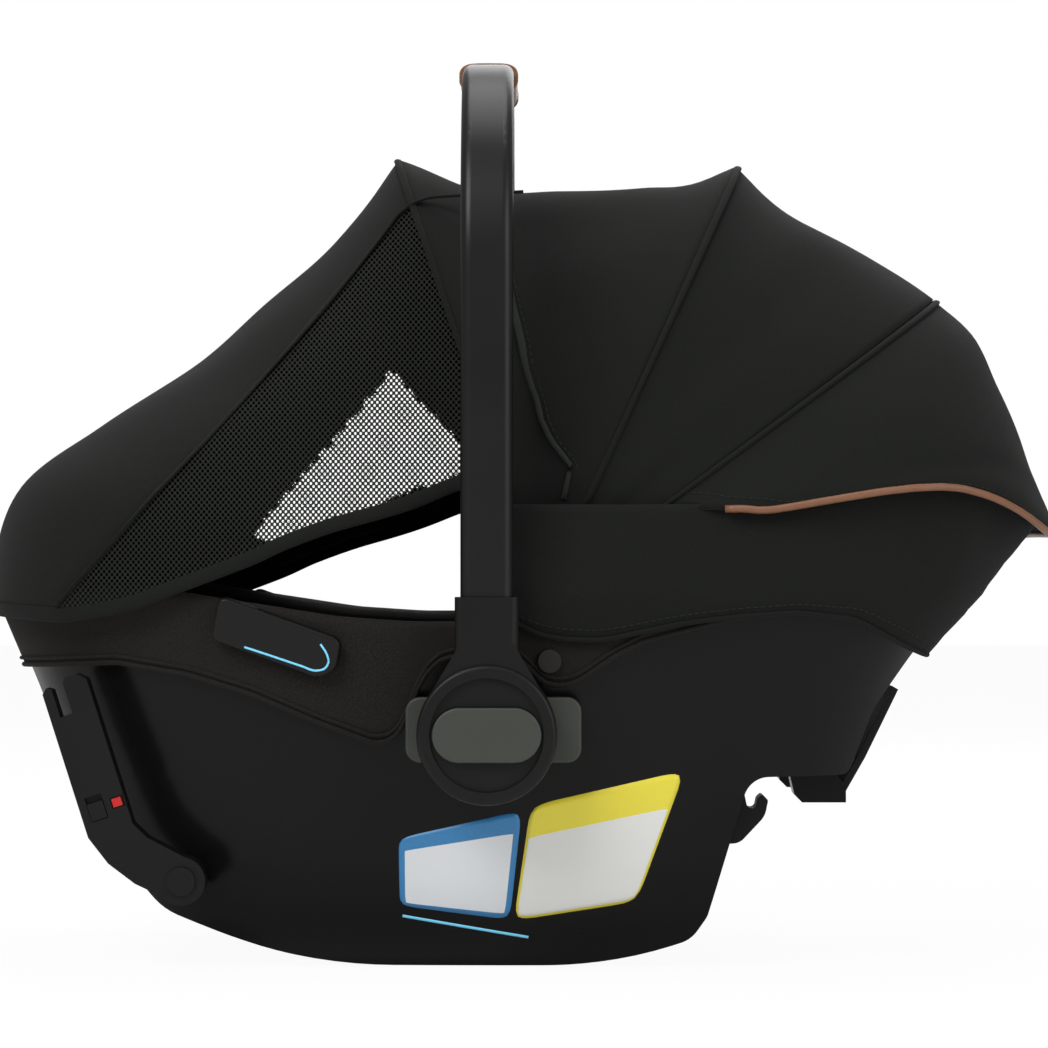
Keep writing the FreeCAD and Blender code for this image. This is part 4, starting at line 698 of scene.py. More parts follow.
def filled(thing, pressure, cap):
    """Lets a cushion's cover fill by pressure, and keeps each point within a distance of its place."""
    before = [v.co.copy() for v in thing.data.vertices]
    only(thing)
    made = thing.modifiers.new("Filling", "CLOTH")
    made.settings.use_pressure = True
    made.settings.uniform_pressure_force = pressure
    made.settings.effector_weights.gravity = 0.0
    made.settings.quality = 3
    made.settings.tension_stiffness = COVER_STIFFNESS
    made.settings.compression_stiffness = COVER_STIFFNESS
    made.point_cache.frame_start = 1
    made.point_cache.frame_end = FILLING_FRAMES
    for f in range(1, FILLING_FRAMES + 1):
        bpy.context.scene.frame_set(f)
    bpy.ops.object.modifier_apply(modifier=made.name)
    bpy.context.scene.frame_set(1)
    for v, b in zip(thing.data.vertices, before):
        move = v.co - b
        if move.length > cap:
            v.co = b + move.normalized() * cap


def plumped(thing, voxel, rounds, swell, pressure=0.0, cap=0.0):
    """Remeshes and smooths a pad, then fills it by pressure, or lifts it by swell where none is given."""
    apply_modifier(thing, "REMESH", mode="VOXEL", voxel_size=voxel, use_smooth_shade=True)
    apply_modifier(thing, "SMOOTH", factor=0.5, iterations=rounds)
    if pressure:
        filled(thing, pressure, cap)
    else:
        for v in thing.data.vertices:
            v.co += v.normal * swell
    thing.data.update()
    return thing


def sewn(thing, depth, width, distance_to_seam):
    """Presses seams into a pad along its normals: depth at the seam, none further than the width."""
    for v in thing.data.vertices:
        gap = distance_to_seam(v.co)
        if gap < width:
            v.co -= v.normal * depth * (1 - gap / width) ** 2
    thing.data.update()
    thing.data.shade_smooth()
    return thing


def line_gap(x, z, table):
    """Distance in side view from a point to a broken line."""
    best = 1e9
    for (ax, az), (bx, bz) in zip(table, table[1:]):
        dx, dz = bx - ax, bz - az
        t = min(max(((x - ax) * dx + (z - az) * dz) / (dx * dx + dz * dz), 0.0), 1.0)
        best = min(best, math.hypot(x - ax - dx * t, z - az - dz * t))
    return best


def side_of(x, z, table):
    """Positive on the head-end side of a line that runs downwards in side view."""
    heights = [row[1] for row in table][::-1]
    places = [row[0] for row in table][::-1]
    return 1.0 if x > float(np.interp(z, heights, places)) else -1.0


def inside_loop(x, z, corners):
    """Whether a point of the side view lies inside a closed outline."""
    inside = False
    for (ax, az), (bx, bz) in zip(corners, corners[1:] + corners[:1]):
        if (az > z) != (bz > z) and x < (bx - ax) * (z - az) / (bz - az) + ax:
            inside = not inside
    return inside


def write_attribute(thing, name, values):
    """Gives each point of a mesh a number that a material can read."""
    layer = thing.data.attributes.new(name, "FLOAT", "POINT")
    layer.data.foreach_set("value", values)


def side_view_uv(thing):
    """Lays a sheet's UV map flat in side view, in metres."""
    layer = thing.data.uv_layers.active or thing.data.uv_layers.new(name="UVMap")
    for loop in thing.data.loops:
        co = thing.data.vertices[loop.vertex_index].co
        layer.data[loop.index].uv = (co.x, co.z)


class CarrierColours(bpy.types.PropertyGroup):
    canopy: bpy.props.FloatVectorProperty(
        name="Canopy", description="Colour of the canopy and sunshade cloth", subtype="COLOR",
        default=(0.0068, 0.0076, 0.0066), min=0.0, max=1.0)
    seat: bpy.props.FloatVectorProperty(
        name="Seat", description="Colour of the melange seat cloth", subtype="COLOR",
        default=(0.0108, 0.0096, 0.0088), min=0.0, max=1.0)
    insert: bpy.props.FloatVectorProperty(
        name="Insert", description="Colour of the infant insert", subtype="COLOR",
        default=(0.16, 0.155, 0.15), min=0.0, max=1.0)
    shell: bpy.props.FloatVectorProperty(
        name="Shell", description="Colour of the moulded shell", subtype="COLOR",
        default=(0.0036, 0.0033, 0.0032), min=0.0, max=1.0)
    button: bpy.props.FloatVectorProperty(
        name="Buttons", description="Colour of the buttons and adapter plates", subtype="COLOR",
        default=(0.034, 0.037, 0.031), min=0.0, max=1.0)
    leather: bpy.props.FloatVectorProperty(
        name="Leather", description="Colour of the grip and the piping", subtype="COLOR",
        default=(0.170, 0.066, 0.027), min=0.0, max=1.0)
    webbing: bpy.props.FloatVectorProperty(
        name="Webbing", description="Colour of the harness", subtype="COLOR",
        default=(0.012, 0.012, 0.0125), min=0.0, max=1.0)


class CarrierSizes(bpy.types.PropertyGroup):
    cloth_thickness: bpy.props.FloatProperty(
        name="Cloth", description="Thickness of the canopy cloth", unit="LENGTH",
        default=0.0016, min=0.0008, max=0.004)
    binding_width: bpy.props.FloatProperty(
        name="Binding", description="Width of the sunshade's edge binding", unit="LENGTH",
        default=0.0105, min=0.004, max=0.02)
    net_cell: bpy.props.FloatProperty(
        name="Net cell", description="Distance between the net's holes", unit="LENGTH",
        default=0.0034, min=0.0015, max=0.006)
    stitch_length: bpy.props.FloatProperty(
        name="Stitch", description="Length of one stitch", unit="LENGTH",
        default=0.0032, min=0.0015, max=0.006)
    stitch_gap: bpy.props.FloatProperty(
        name="Stitch gap", description="Gap between stitches", unit="LENGTH",
        default=0.0014, min=0.0005, max=0.004)


def lighter(colour, factor):
    """A colour times a factor, with white as its limit."""
    return [min(v * factor, 1.0) for v in colour]


def net_tones(colour):
    """The sunshade's tones: cloth dark and light, then the net's deep and bright."""
    return [lighter(colour, factor) for factor in (0.75, 1.75, 0.6, 2.6)]


# How each finish is made, from its name n, the colours c and the sizes s that a user can set.
MAKERS = {
    "canopy_cloth": lambda n, c, s: cloth(
        n, lighter(c.canopy, 0.75), lighter(c.canopy, 1.75), threads=7000.0, slub=0.65, sheen=0.03),
    "shade_cloth": lambda n, c, s: net(n, net_tones(c.canopy), s.net_cell),
    "seat_cloth": lambda n, c, s: cloth(
        n, lighter(c.seat, 0.55), lighter(c.seat, 2.1), threads=4200.0, slub=0.35, sheen=0.03),
    "seat_cloth_soft": lambda n, c, s: cloth(
        n, lighter(c.seat, 0.55), lighter(c.seat, 2.1), threads=4200.0, slub=0.35, sheen=0.03, uv=False),
    "insert_cloth": lambda n, c, s: cloth(
        n, lighter(c.insert, 0.8), lighter(c.insert, 1.25), threads=3600.0, slub=0.3, sheen=0.2, uv=False),
    "webbing": lambda n, c, s: cloth(
        n, lighter(c.webbing, 0.7), lighter(c.webbing, 2.0), threads=5200.0, slub=0.7, sheen=0.0,
        roughness=0.6),
    "thread": lambda n, c, s: cloth(
        n, lighter(c.canopy, 2.2), lighter(c.canopy, 3.4), threads=9000.0, slub=0.5, sheen=0.05, uv=False),
    "tan_thread": lambda n, c, s: cloth(
        n, (0.30, 0.14, 0.06), (0.42, 0.22, 0.11), threads=9000.0, slub=0.5, sheen=0.05, uv=False),
    "shell_plastic": lambda n, c, s: plastic(n, c.shell, 0.25, strength=0.02, gloss=0.13),
    "trim_plastic": lambda n, c, s: plastic(n, lighter(c.shell, 1.15), 0.40, strength=0.08, gloss=0.2),
    "button_plastic": lambda n, c, s: plastic(n, c.button, 0.46, strength=0.12),
    "tube_coating": lambda n, c, s: plastic(
        n, (0.0045, 0.0044, 0.0044), 0.36, grain=3200.0, strength=0.03, gloss=0.26),
    "leather": lambda n, c, s: leather(n, lighter(c.leather, 0.7), lighter(c.leather, 1.25)),
    "zinc": lambda n, c, s: metal(n, (0.55, 0.55, 0.54), 0.34),
    "bow_coating": lambda n, c, s: plastic(n, (0.02, 0.02, 0.02), 0.4, strength=0.05),
    "foam_beads": lambda n, c, s: foam(n, (0.10, 0.10, 0.105)),
    "flag_red": lambda n, c, s: plastic(n, (0.42, 0.012, 0.012), 0.4),
    "buckle_red": lambda n, c, s: plastic(n, (0.50, 0.016, 0.014), 0.36),
    "snap": lambda n, c, s: plastic(n, (0.010, 0.0085, 0.0075), 0.4),
    "line_blue": lambda n, c, s: plastic(n, (0.17, 0.56, 0.80), 0.42),
    "paper_blue": lambda n, c, s: sticker(
        n, paper=(0.62, 0.64, 0.66), ink=(0.004, 0.16, 0.38), line=0.05, low=0.05, high=0.80),
    "paper_yellow": lambda n, c, s: sticker(
        n, paper=(0.66, 0.66, 0.63), ink=(0.70, 0.60, 0.02), line=0.02, low=0.02, high=0.72),
}


def finish(name):
    """A finish of this carrier by name, made when first asked for."""
    if name not in bpy.data.materials:
        scene = bpy.context.scene
        MAKERS[name](name, scene.carrier_colours, scene.carrier_sizes)
    return bpy.data.materials[name]


# The CAD nodes that wear each finish.
FINISHES = {
    "shell_plastic": ["shell", "rear_feet", "belt_hooks"],
    "trim_plastic": ["handle_hub_left", "handle_hub_right", "canopy_mounts", "belt_guide_left",
                     "belt_guide_right", "anchor_arm_left", "anchor_arm_right", "buckle", "chest_clip",
                     "harness_adjuster", "anchor_release_left", "anchor_release_right", "release_lever",
                     "anchor_pins"],
    "button_plastic": ["handle_button_left", "handle_button_right", "adapter_plate_left",
                       "adapter_plate_right", "adjuster_button"],
    "tube_coating": ["handle_tube"],
    "leather": ["handle_grip"],
    "zinc": ["handle_pivots", "base_latch_bars", "buckle_tongues", "lever_pin", "canopy_pins",
             "anchor_hook_left", "anchor_hook_right"],
    "bow_coating": ["canopy_front_bow", "canopy_middle_bow", "canopy_rear_bow"],
    "foam_beads": ["foam_liner"],
    "flag_red": ["anchor_indicator_left", "anchor_indicator_right"],
    "buckle_red": ["buckle_button"],
    "snap": ["skirt_snaps"],
}


class CARRIER_OT_finishes(bpy.types.Operator):
    """Gives the moulded, metal, foam and leather pieces their finishes"""

    bl_idname = "carrier.finishes"
    bl_label = "Hard piece finishes"

    def execute(self, context):
        for name, nodes in FINISHES.items():
            for node in nodes:
                dress(node, finish(name))
        return {"FINISHED"}


def cloth_piece(name, rows, node, made="canopy_cloth"):
    """A canopy cloth that stands for a CAD node, from rows of points on its outer face."""
    thing = grid_object(name, rows)
    face_outwards(thing, AXIS)
    thicken(thing, bpy.context.scene.carrier_sizes.cloth_thickness)
    paint(thing, finish(made))
    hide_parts(node)
    return thing


def off_axis(line, lift):
    """A line moved away from the bows' axis."""
    return [p + (p - Vector(AXIS)).normalized() * lift for p in line]


def hanging_border(rows):
    """The edge of a cloth that hangs from its first row: down one side, along the last row and back up."""
    return [row[0] for row in rows] + list(rows[-1])[1:-1] + [row[-1] for row in rows[::-1]]


def ridge(name, stations, angle, radius):
    """The raised seam over a bow."""
    turns = [-90 + 180 * i / ARCH_STEPS for i in range(ARCH_STEPS + 1)]
    line = even_row([arch_point(stations, angle, turn) for turn in turns], 90)
    return tube(name, line, radius, flat=1.6)


STITCH_RADIUS = 0.00035
ZIP_LINE = [  # the zip's course: (turn from the top of the arch, angle)
    (0.0, 97.5), (30.0, 96.6), (63.0, 95.7), (78.0, 92.1), (84.0, 87.4), (87.0, 78.4),
]
ZIP_RADIUS = 0.0016
ZIP_LIFT = 0.0010  # above the cloth
ZIP_STITCH_LIFT = 0.0012
ZIP_STITCH_SIDE = 0.0045  # how far the stitches run beside the zip


class CARRIER_OT_canopy_front(bpy.types.Operator):
    """Makes the canopy's front cloth with its zip line, between the front and the middle bow"""

    bl_idname = "carrier.canopy_front"
    bl_label = "Canopy front cloth"

    def execute(self, context):
        sizes = context.scene.carrier_sizes
        rows = cloth_rows(FRONT_PANEL, first=108.3, last=65.8, rows=40, columns=72)
        rows = rippled(rows, amount=0.0014, waves=5.0, centre=AXIS, slant=0.6)
        front = cloth_piece("canopy_front_cloth", rows, "canopy_front_panel")
        course = [arch_point(FRONT_PANEL, through(ZIP_LINE, abs(turn)), turn) for turn in range(-90, 91, 3)]
        course = even_row(course, 110)
        coil = tube("canopy_zip", off_axis(course, ZIP_LIFT), ZIP_RADIUS, flat=1.8)
        paint(coil, finish("thread"))
        beside = [p + Vector((ZIP_STITCH_SIDE, 0, 0)) for p in off_axis(course, ZIP_STITCH_LIFT)]
        thread = stitches("canopy_zip_stitches", beside, sizes.stitch_length, STITCH_RADIUS, sizes.stitch_gap)
        paint(thread, finish("thread"))
        for thing in (front, coil, thread):
            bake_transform(thing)
        return {"FINISHED"}


class CARRIER_OT_canopy_middle(bpy.types.Operator):
    """Makes the canopy's middle cloth and the raised seams over the middle and rear bows"""

    bl_idname = "carrier.canopy_middle"
    bl_label = "Canopy middle cloth"

    def execute(self, context):
        rows = cloth_rows(MIDDLE_PANEL, first=65.2, last=36.8, rows=28, columns=72)
        rows = rippled(rows, amount=0.0012, waves=4.0, centre=AXIS, slant=-0.5)
        middle = cloth_piece("canopy_middle_cloth", rows, "canopy_middle_panel")
        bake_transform(middle)
        for name, stations, angle, body in (("canopy_seam_middle", MIDDLE_PANEL, 65.3, "canopy_middle"),
                                            ("canopy_seam_rear", REAR_FLAP, 36.3, "carrier")):
            seam = ridge(name, stations, angle, 0.0017)
            paint(seam, finish("canopy_cloth"))
            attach(seam, body)
        return {"FINISHED"}


FLAP_PIPING_RADIUS = 0.0024


class CARRIER_OT_canopy_flap(bpy.types.Operator):
    """Makes the rear flap with its leather piping and topstitch"""

    bl_idname = "carrier.canopy_flap"
    bl_label = "Canopy rear flap"

    def execute(self, context):
        sizes = context.scene.carrier_sizes
        rows = cloth_rows(REAR_FLAP, first=36.2, last=6.4, rows=34, columns=80, edge=FLAP_EDGE[::-1])
        rows = rippled(rows, amount=0.0012, waves=3.0, centre=AXIS, slant=0.4)
        flap = cloth_piece("canopy_flap_cloth", rows, "canopy_rear_flap")
        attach(flap, "carrier")
        piping = tube("canopy_flap_piping", even_row(hanging_border(rows), 150)[8:-8], FLAP_PIPING_RADIUS)
        paint(piping, finish("leather"))
        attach(piping, "carrier")
        inner = hanging_border([row[2:-2] for row in rows[:-2]])
        inner = off_axis(even_row(inner, 150), 0.0003)
        thread = stitches("canopy_flap_stitches", inner, sizes.stitch_length, STITCH_RADIUS, sizes.stitch_gap)
        paint(thread, finish("thread"))
        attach(thread, "carrier")
        return {"FINISHED"}


SHADE_COLUMNS = 130
SAG_START = 97  # the column where the far edge begins to hang lower
SAG_DEPTH = 0.012
SAG_END = -0.20  # the foot end of that sag, along X
SOLID_HALF = 0.055  # half width of the part that is cloth right over the top
NEAR_THREAD, CLEAR_THREAD, CLOSED_THREAD = 0.35, -1.75, 2.5  # the lower, the larger the net's holes
BINDING_POINTS = 220
BINDING_OVERLAP = 0.08  # share of the binding that laps over the edge
BINDING_THICKNESS = 0.0034
SHADE_MIDDLE = Vector((-0.10, 0.0, 0.24))  # a point inside the sunshade, from which its edge faces away
SEAM_STEPS = 8  # points between two corners of the window's seam
SEAM_END = 183.0  # the angle where that seam runs under the binding


def sagged(rows):
    """Lets the sunshade's far edge hang a little lower than the near one."""
    for row in rows:
        for j in range(SAG_START + 1, SHADE_COLUMNS):
            if row[j].y > 0 and row[j].x > SAG_END:
                share = (j - SAG_START) / (SHADE_COLUMNS - 1 - SAG_START)
                row[j] -= Vector((0, 0, SAG_DEPTH * share**2))
    return rows


def mark_window(shade):
    """Marks where the sunshade is net, and how open its holes are."""
    window, thread = [], []
    for v in shade.data.vertices:
        x, y, z = v.co
        gap = line_gap(x, z, WINDOW_LINE) * side_of(x, z, WINDOW_LINE)
        window.append(gap if abs(y) > SOLID_HALF else -0.01)
        if y < 0:
            thread.append(NEAR_THREAD)
        else:
            thread.append(CLEAR_THREAD if inside_loop(x, z, FAR_WINDOW) else CLOSED_THREAD)
    write_attribute(shade, "window", window)
    write_attribute(shade, "thread", thread)


def binding(border, wide):
    """The folded tape that binds the sunshade's edge."""
    border = even_row(border, BINDING_POINTS)
    rows = []
    for share, lift in ((0, 0.0006), (1 / 3, 0.0016), (2 / 3, 0.0016), (1, 0.0006)):
        line = []
        for i, p in enumerate(border):
            way = (border[min(i + 1, BINDING_POINTS - 1)] - border[max(i - 1, 0)]).normalized()
            out = (p - SHADE_MIDDLE).normalized()
            up = way.cross(out).normalized()
            if up.z < 0:
                up = -up
            line.append(p + up * wide * (share - BINDING_OVERLAP) + out * lift)
        rows.append(line)
    band = grid_object("sunshade_binding", rows)
    face_outwards(band, (-0.10, 0.0, 0.26))
    thicken(band, BINDING_THICKNESS)
    soften(band)
    paint(band, finish("canopy_cloth"))
    return band


def window_seam(name, side):
    """The seam between the sunshade's solid middle and its net on one side."""
    seam = []
    for i in range((len(WINDOW_LINE) - 1) * SEAM_STEPS + 1):
        at = i / SEAM_STEPS
        k = min(int(at), len(WINDOW_LINE) - 2)
        x = WINDOW_LINE[k][0] + (WINDOW_LINE[k + 1][0] - WINDOW_LINE[k][0]) * (at - k)
        z = WINDOW_LINE[k][1] + (WINDOW_LINE[k + 1][1] - WINDOW_LINE[k][1]) * (at - k)
        angle = math.degrees(math.atan2(z - PIVOT[1], x - PIVOT[0])) % 360
        if angle <= SEAM_END:
            turn = turn_at(SUNSHADE, angle, math.hypot(x - PIVOT[0], z - PIVOT[1]))
            seam.append(arch_point(SUNSHADE, angle, side * turn) + Vector((0, side * 0.0004, 0.0006)))
    line = tube(name, even_row(seam, 90), 0.0011, flat=3.0)
    paint(line, finish("canopy_cloth"))
    return line


class CARRIER_OT_sunshade(bpy.types.Operator):
    """Makes the sunshade: a solid middle, net sides, a seam between them and a bound edge"""

    bl_idname = "carrier.sunshade"
    bl_label = "Sunshade"

    def execute(self, context):
        rows = cloth_rows(SUNSHADE, first=108.8, last=183.4, rows=90, columns=SHADE_COLUMNS,
                          edge=SHADE_EDGE, tip=-1.2)
        rows = sagged(rippled(rows, amount=0.0010, waves=4.0, centre=AXIS, slant=0.8))
        shade = cloth_piece("sunshade_cloth", rows, "sunshade", made="shade_cloth")
        side_view_uv(shade)
        mark_window(shade)
        parts = [shade, binding(hanging_border(rows), context.scene.carrier_sizes.binding_width)]
        parts.append(window_seam("sunshade_seam_left", -1))
        parts.append(window_seam("sunshade_seam_right", 1))
        front = ridge("sunshade_seam_front", SUNSHADE, 108.7, 0.0016)
        paint(front, finish("canopy_cloth"))
        parts.append(front)
        for thing in parts:
            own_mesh(thing)
            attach(thing, "canopy_front")
        return {"FINISHED"}


SKIRT_OFF = 0.0080  # the skirt's outer face, off the tub at its two ends
SKIRT_BULGE = 0.0028  # how much further off it lies round the head end
SKIRT_REACH = 90.6  # how far round it goes to each side, in degrees
SKIRT_THICKNESS = 0.0018
SKIRT_MIDDLE = (0.15, 0.0, 0.25)


class CARRIER_OT_head_skirt(bpy.types.Operator):
    """Makes the cloth skirt that buttons round the head end, with its hem and topstitch"""

    bl_idname = "carrier.head_skirt"
    bl_label = "Head skirt"

    def execute(self, context):
        sizes = context.scene.carrier_sizes
        rows = []
        for i in range(15):
            r = i / 14
            line = []
            for j in range(161):
                turn = (j / 80 - 1) * SKIRT_REACH
                outer = SKIRT_OFF + SKIRT_BULGE * math.sqrt(max(math.cos(math.radians(turn)), 0.0))
                low = on_line(turn, SKIRT_HEM, outer)
                high = on_line(turn, SKIRT_TOP, outer)
                line.append(tub_point(turn, low.z + (high.z - low.z) * r, outer))
            rows.append(even_row(line, 120))
        rows = rippled(rows[::-1], amount=0.0011, waves=9.0, centre=SKIRT_MIDDLE, slant=0.3, start=0.1)
        skirt = grid_object("head_skirt_cloth", rows)
        face_outwards(skirt, SKIRT_MIDDLE)
        thicken(skirt, SKIRT_THICKNESS)
        paint(skirt, finish("canopy_cloth"))
        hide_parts("head_skirt")
        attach(skirt, "carrier")
        hem = tube("head_skirt_hem", even_row(rows[-1], 150), 0.0016, flat=0.9)
        paint(hem, finish("canopy_cloth"))
        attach(hem, "carrier")
        course = []
        for p in even_row(rows[-2], 150):
            inside = Vector((p.x * 0.9, 0, p.z))
            course.append(p + (p - inside).normalized() * 0.0004)
        thread = stitches("head_skirt_stitches", course, sizes.stitch_length, STITCH_RADIUS, sizes.stitch_gap)
        paint(thread, finish("thread"))
        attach(thread, "carrier")
        return {"FINISHED"}


COVER_OFF = 0.0040  # the cover's outer face, off the tub
COVER_SHARES = (0.0, 0.12, 0.25, 0.38, 0.50, 0.62, 0.74, 0.85, 0.94)  # its rows, from the hem to the rim
COVER_ROLL = (  # its rows over the rim and down inside: (inwards, above the rim)
    (0.0015, 0.0036), (0.005, 0.0044), (0.014, 0.0040), (0.024, 0.0028), (0.0315, -0.001), (0.0345, -0.008),
)
COVER_POINTS = 220
COVER_TURNS = [360 * j / 440 for j in range(440)]
COVER_THICKNESS = 0.0022
COVER_PIPING = ((0.0, 0.0016), (0.0042, 0.0012))  # (above the hem, radius) of its two pipings
BOW_SLOT_HALF = 0.021  # the slot that the bows' legs come through, along X
BOW_SLOT_Y = (0.134, 0.162)
BOW_SLOT_LOW = 0.19


def in_bow_slot(p):
    """Whether a point lies where the canopy bows' legs come through the cover."""
    across = BOW_SLOT_Y[0] < abs(p.y) < BOW_SLOT_Y[1]
    return abs(p.x - PIVOT[0]) < BOW_SLOT_HALF and across and p.z > BOW_SLOT_LOW


def delete_faces(thing, doomed):
    """Deletes the faces with these numbers."""
    only(thing)
    bpy.ops.object.mode_set(mode="EDIT")
    bpy.ops.mesh.select_mode(type="FACE")
    bpy.ops.mesh.select_all(action="DESELECT")
    bpy.ops.object.mode_set(mode="OBJECT")
    for index in doomed:
        thing.data.polygons[index].select = True
    bpy.ops.object.mode_set(mode="EDIT")
    bpy.ops.mesh.delete(type="FACE")
    bpy.ops.object.mode_set(mode="OBJECT")


class CARRIER_OT_side_cover(bpy.types.Operator):
    """Makes the padded cover that wraps over the shell's rim, with double piping along its hem"""

    bl_idname = "carrier.side_cover"
    bl_label = "Side cover"

    def execute(self, context):
        rows = []
        for r in COVER_SHARES:
            line = []
            for turn in COVER_TURNS:
                low = on_line(turn, COVER_HEM, COVER_OFF)
                high = on_line(turn, RIM, COVER_OFF, 0.0025)
                line.append(tub_point(turn, low.z + (high.z - low.z) * r, COVER_OFF))
            rows.append(even_row(line, COVER_POINTS, loop=True))
        for inward, lift in COVER_ROLL:
            line = [on_line(turn, RIM, COVER_OFF - inward, lift) for turn in COVER_TURNS]
            rows.append(even_row(line, COVER_POINTS, loop=True))
        cover = grid_object("side_cover_cloth", rows, loop=True)
        face_outwards(cover, (0.02, 0.0, 0.12))
        delete_faces(cover, [p.index for p in cover.data.polygons if in_bow_slot(p.center)])
        thicken(cover, COVER_THICKNESS)
        paint(cover, finish("seat_cloth"))
        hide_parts("rim_cover")
        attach(cover, "carrier")
        for k, (drop, radius) in enumerate(COVER_PIPING):
            hem = [on_line(turn, COVER_HEM, COVER_OFF + 0.0004, drop) for turn in COVER_TURNS]
            piping = tube(f"side_cover_piping_{k}", even_row(hem, 320, loop=True), radius, loop=True)
            paint(piping, finish("seat_cloth"))
            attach(piping, "carrier")
        return {"FINISHED"}


PAD_SIDE_SEAM = 0.074  # across, where the seat pad's bottom meets its cheeks
PAD_CROSS_SEAMS = (-0.205, -0.125, 0.245)
PAD_RIB = 0.085  # spacing of the cheeks' upright seams
PAD_RIB_START = 0.30
PAD_CHEEK = 0.08  # across, beyond which those seams run
INSERT_SIDE_SEAM = 0.066
INSERT_CROSS_SEAMS = (-0.010, 0.045, 0.100, 0.155)
SHOULDER_PAD_EDGES = (0.023, 0.061)  # across, the topstitched edges of each shoulder pad
NO_SEAM = 1.0  # farther than any seam's width


def pad_seam(co):
    """Distance to the nearest seam of the seat pad."""
    side = abs(abs(co.y) - PAD_SIDE_SEAM)
    across = min(abs(co.x - x) for x in PAD_CROSS_SEAMS) if abs(co.y) < PAD_SIDE_SEAM else NO_SEAM
    ribs = abs((co.x + PAD_RIB_START) % PAD_RIB - PAD_RIB / 2) if abs(co.y) > PAD_CHEEK else NO_SEAM
    return min(side, across, ribs)


def insert_seam(co):
    """Distance to the nearest sewn channel of the infant insert."""
    inner = abs(co.y) < INSERT_SIDE_SEAM
    across = min(abs(co.x - x) for x in INSERT_CROSS_SEAMS) if inner else NO_SEAM
    return min(abs(abs(co.y) - INSERT_SIDE_SEAM), across)


def shoulder_seam(co):
    """Distance to the nearest topstitched edge of the shoulder pads."""
    return min(abs(abs(co.y) - edge) for edge in SHOULDER_PAD_EDGES)


class CARRIER_OT_seat_pad(bpy.types.Operator):
    """Makes the quilted pad that lines the seat"""

    bl_idname = "carrier.seat_pad"
    bl_label = "Seat pad"

    def execute(self, context):
        pad = copy_of("seat_pad", "seat_pad_quilt")
        plumped(pad, voxel=0.0060, rounds=3, swell=0.0006)
        sewn(pad, depth=0.0032, width=0.010, distance_to_seam=pad_seam)
        paint(pad, finish("seat_cloth_soft"))
        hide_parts("seat_pad")
        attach(pad, "carrier")
        return {"FINISHED"}


class CARRIER_OT_infant_insert(bpy.types.Operator):
    """Makes the softer insert with its sewn channels"""

    bl_idname = "carrier.infant_insert"
    bl_label = "Infant insert"

    def execute(self, context):
        insert = copy_of("infant_insert", "infant_insert_cushion")
        plumped(insert, voxel=0.0060, rounds=3, swell=0.002, pressure=4.0, cap=0.007)
        sewn(insert, depth=0.0034, width=0.009, distance_to_seam=insert_seam)
        soften(insert)
        paint(insert, finish("insert_cloth"))
        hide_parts("infant_insert")
        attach(insert, "carrier")
        return {"FINISHED"}


def webbing(node, name):
    """A harness strap from its CAD node: flat, with softened edges and its weave along it."""
    strap = copy_of(node, name)
    edit_all(strap, bpy.ops.mesh.dissolve_limited, angle_limit=math.radians(0.5))
    apply_modifier(strap, "BEVEL", width=0.0004, segments=2, limit_method="ANGLE")
    strap.data.shade_flat()
    layer = strap.data.uv_layers.new(name="UVMap")
    for loop in strap.data.loops:
        co = strap.data.vertices[loop.vertex_index].co
        layer.data[loop.index].uv = (co.x + co.z * 0.6, co.y)
    return paint(strap, finish("webbing"))


class CARRIER_OT_harness(bpy.types.Operator):
    """Makes the shoulder pads and the woven harness straps"""

    bl_idname = "carrier.harness"
    bl_label = "Harness"

    def execute(self, context):
        pads = copy_of("shoulder_pads", "shoulder_pad_pair")
        plumped(pads, voxel=0.0032, rounds=4, swell=0.001)
        sewn(pads, depth=0.0014, width=0.005, distance_to_seam=shoulder_seam)
        paint(pads, finish("seat_cloth_soft"))
        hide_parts("shoulder_pads")
        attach(pads, "carrier")
        for node, name in (("shoulder_straps", "shoulder_webbing"), ("crotch_strap", "crotch_webbing"),
                           ("adjuster_strap", "adjuster_webbing")):
            strap = webbing(node, name)
            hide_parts(node)
            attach(strap, "carrier")
        return {"FINISHED"}


RAY_START = 0.40  # how far out to the side a ray starts
FILM_THICKNESS = 0.0003
# Corners in side view, as (x, z): low foot end, low head end, high head end, high foot end.
BLUE_FILM = [(-0.0475, 0.0405), (0.0215, 0.0315), (0.0290, 0.1010), (-0.0480, 0.0835)]
YELLOW_FILM = [(0.0240, 0.0310), (0.1010, 0.0430), (0.1310, 0.1260), (0.0345, 0.1040)]
LEVEL_LINE = [(-0.0460, 0.0330), (0.0330, 0.0190), (0.0333, 0.0206), (-0.0457, 0.0346)]
GUIDE_LINE = [  # the belt guides' printed line, which turns up at its head end
    (-0.143, 0.2035), (-0.126, 0.198), (-0.108, 0.192), (-0.098, 0.189), (-0.093, 0.1903),
    (-0.0905, 0.1945), (-0.0915, 0.199), (-0.0955, 0.2055),
]
GUIDE_LINE_RADIUS = 0.0007


def surface_of(node):
    """A CAD piece's surface, for rays to meet."""
    mesh = bpy.data.objects[node].data
    return BVHTree.FromPolygons([v.co for v in mesh.vertices], [p.vertices for p in mesh.polygons])


def surface_hit(tree, x, z, side):
    """Where a ray along Y from one side meets a piece, and the surface's direction there."""
    hit, normal, _, _ = tree.ray_cast(Vector((x, side * RAY_START, z)), Vector((0, -side, 0)))
    return hit, normal


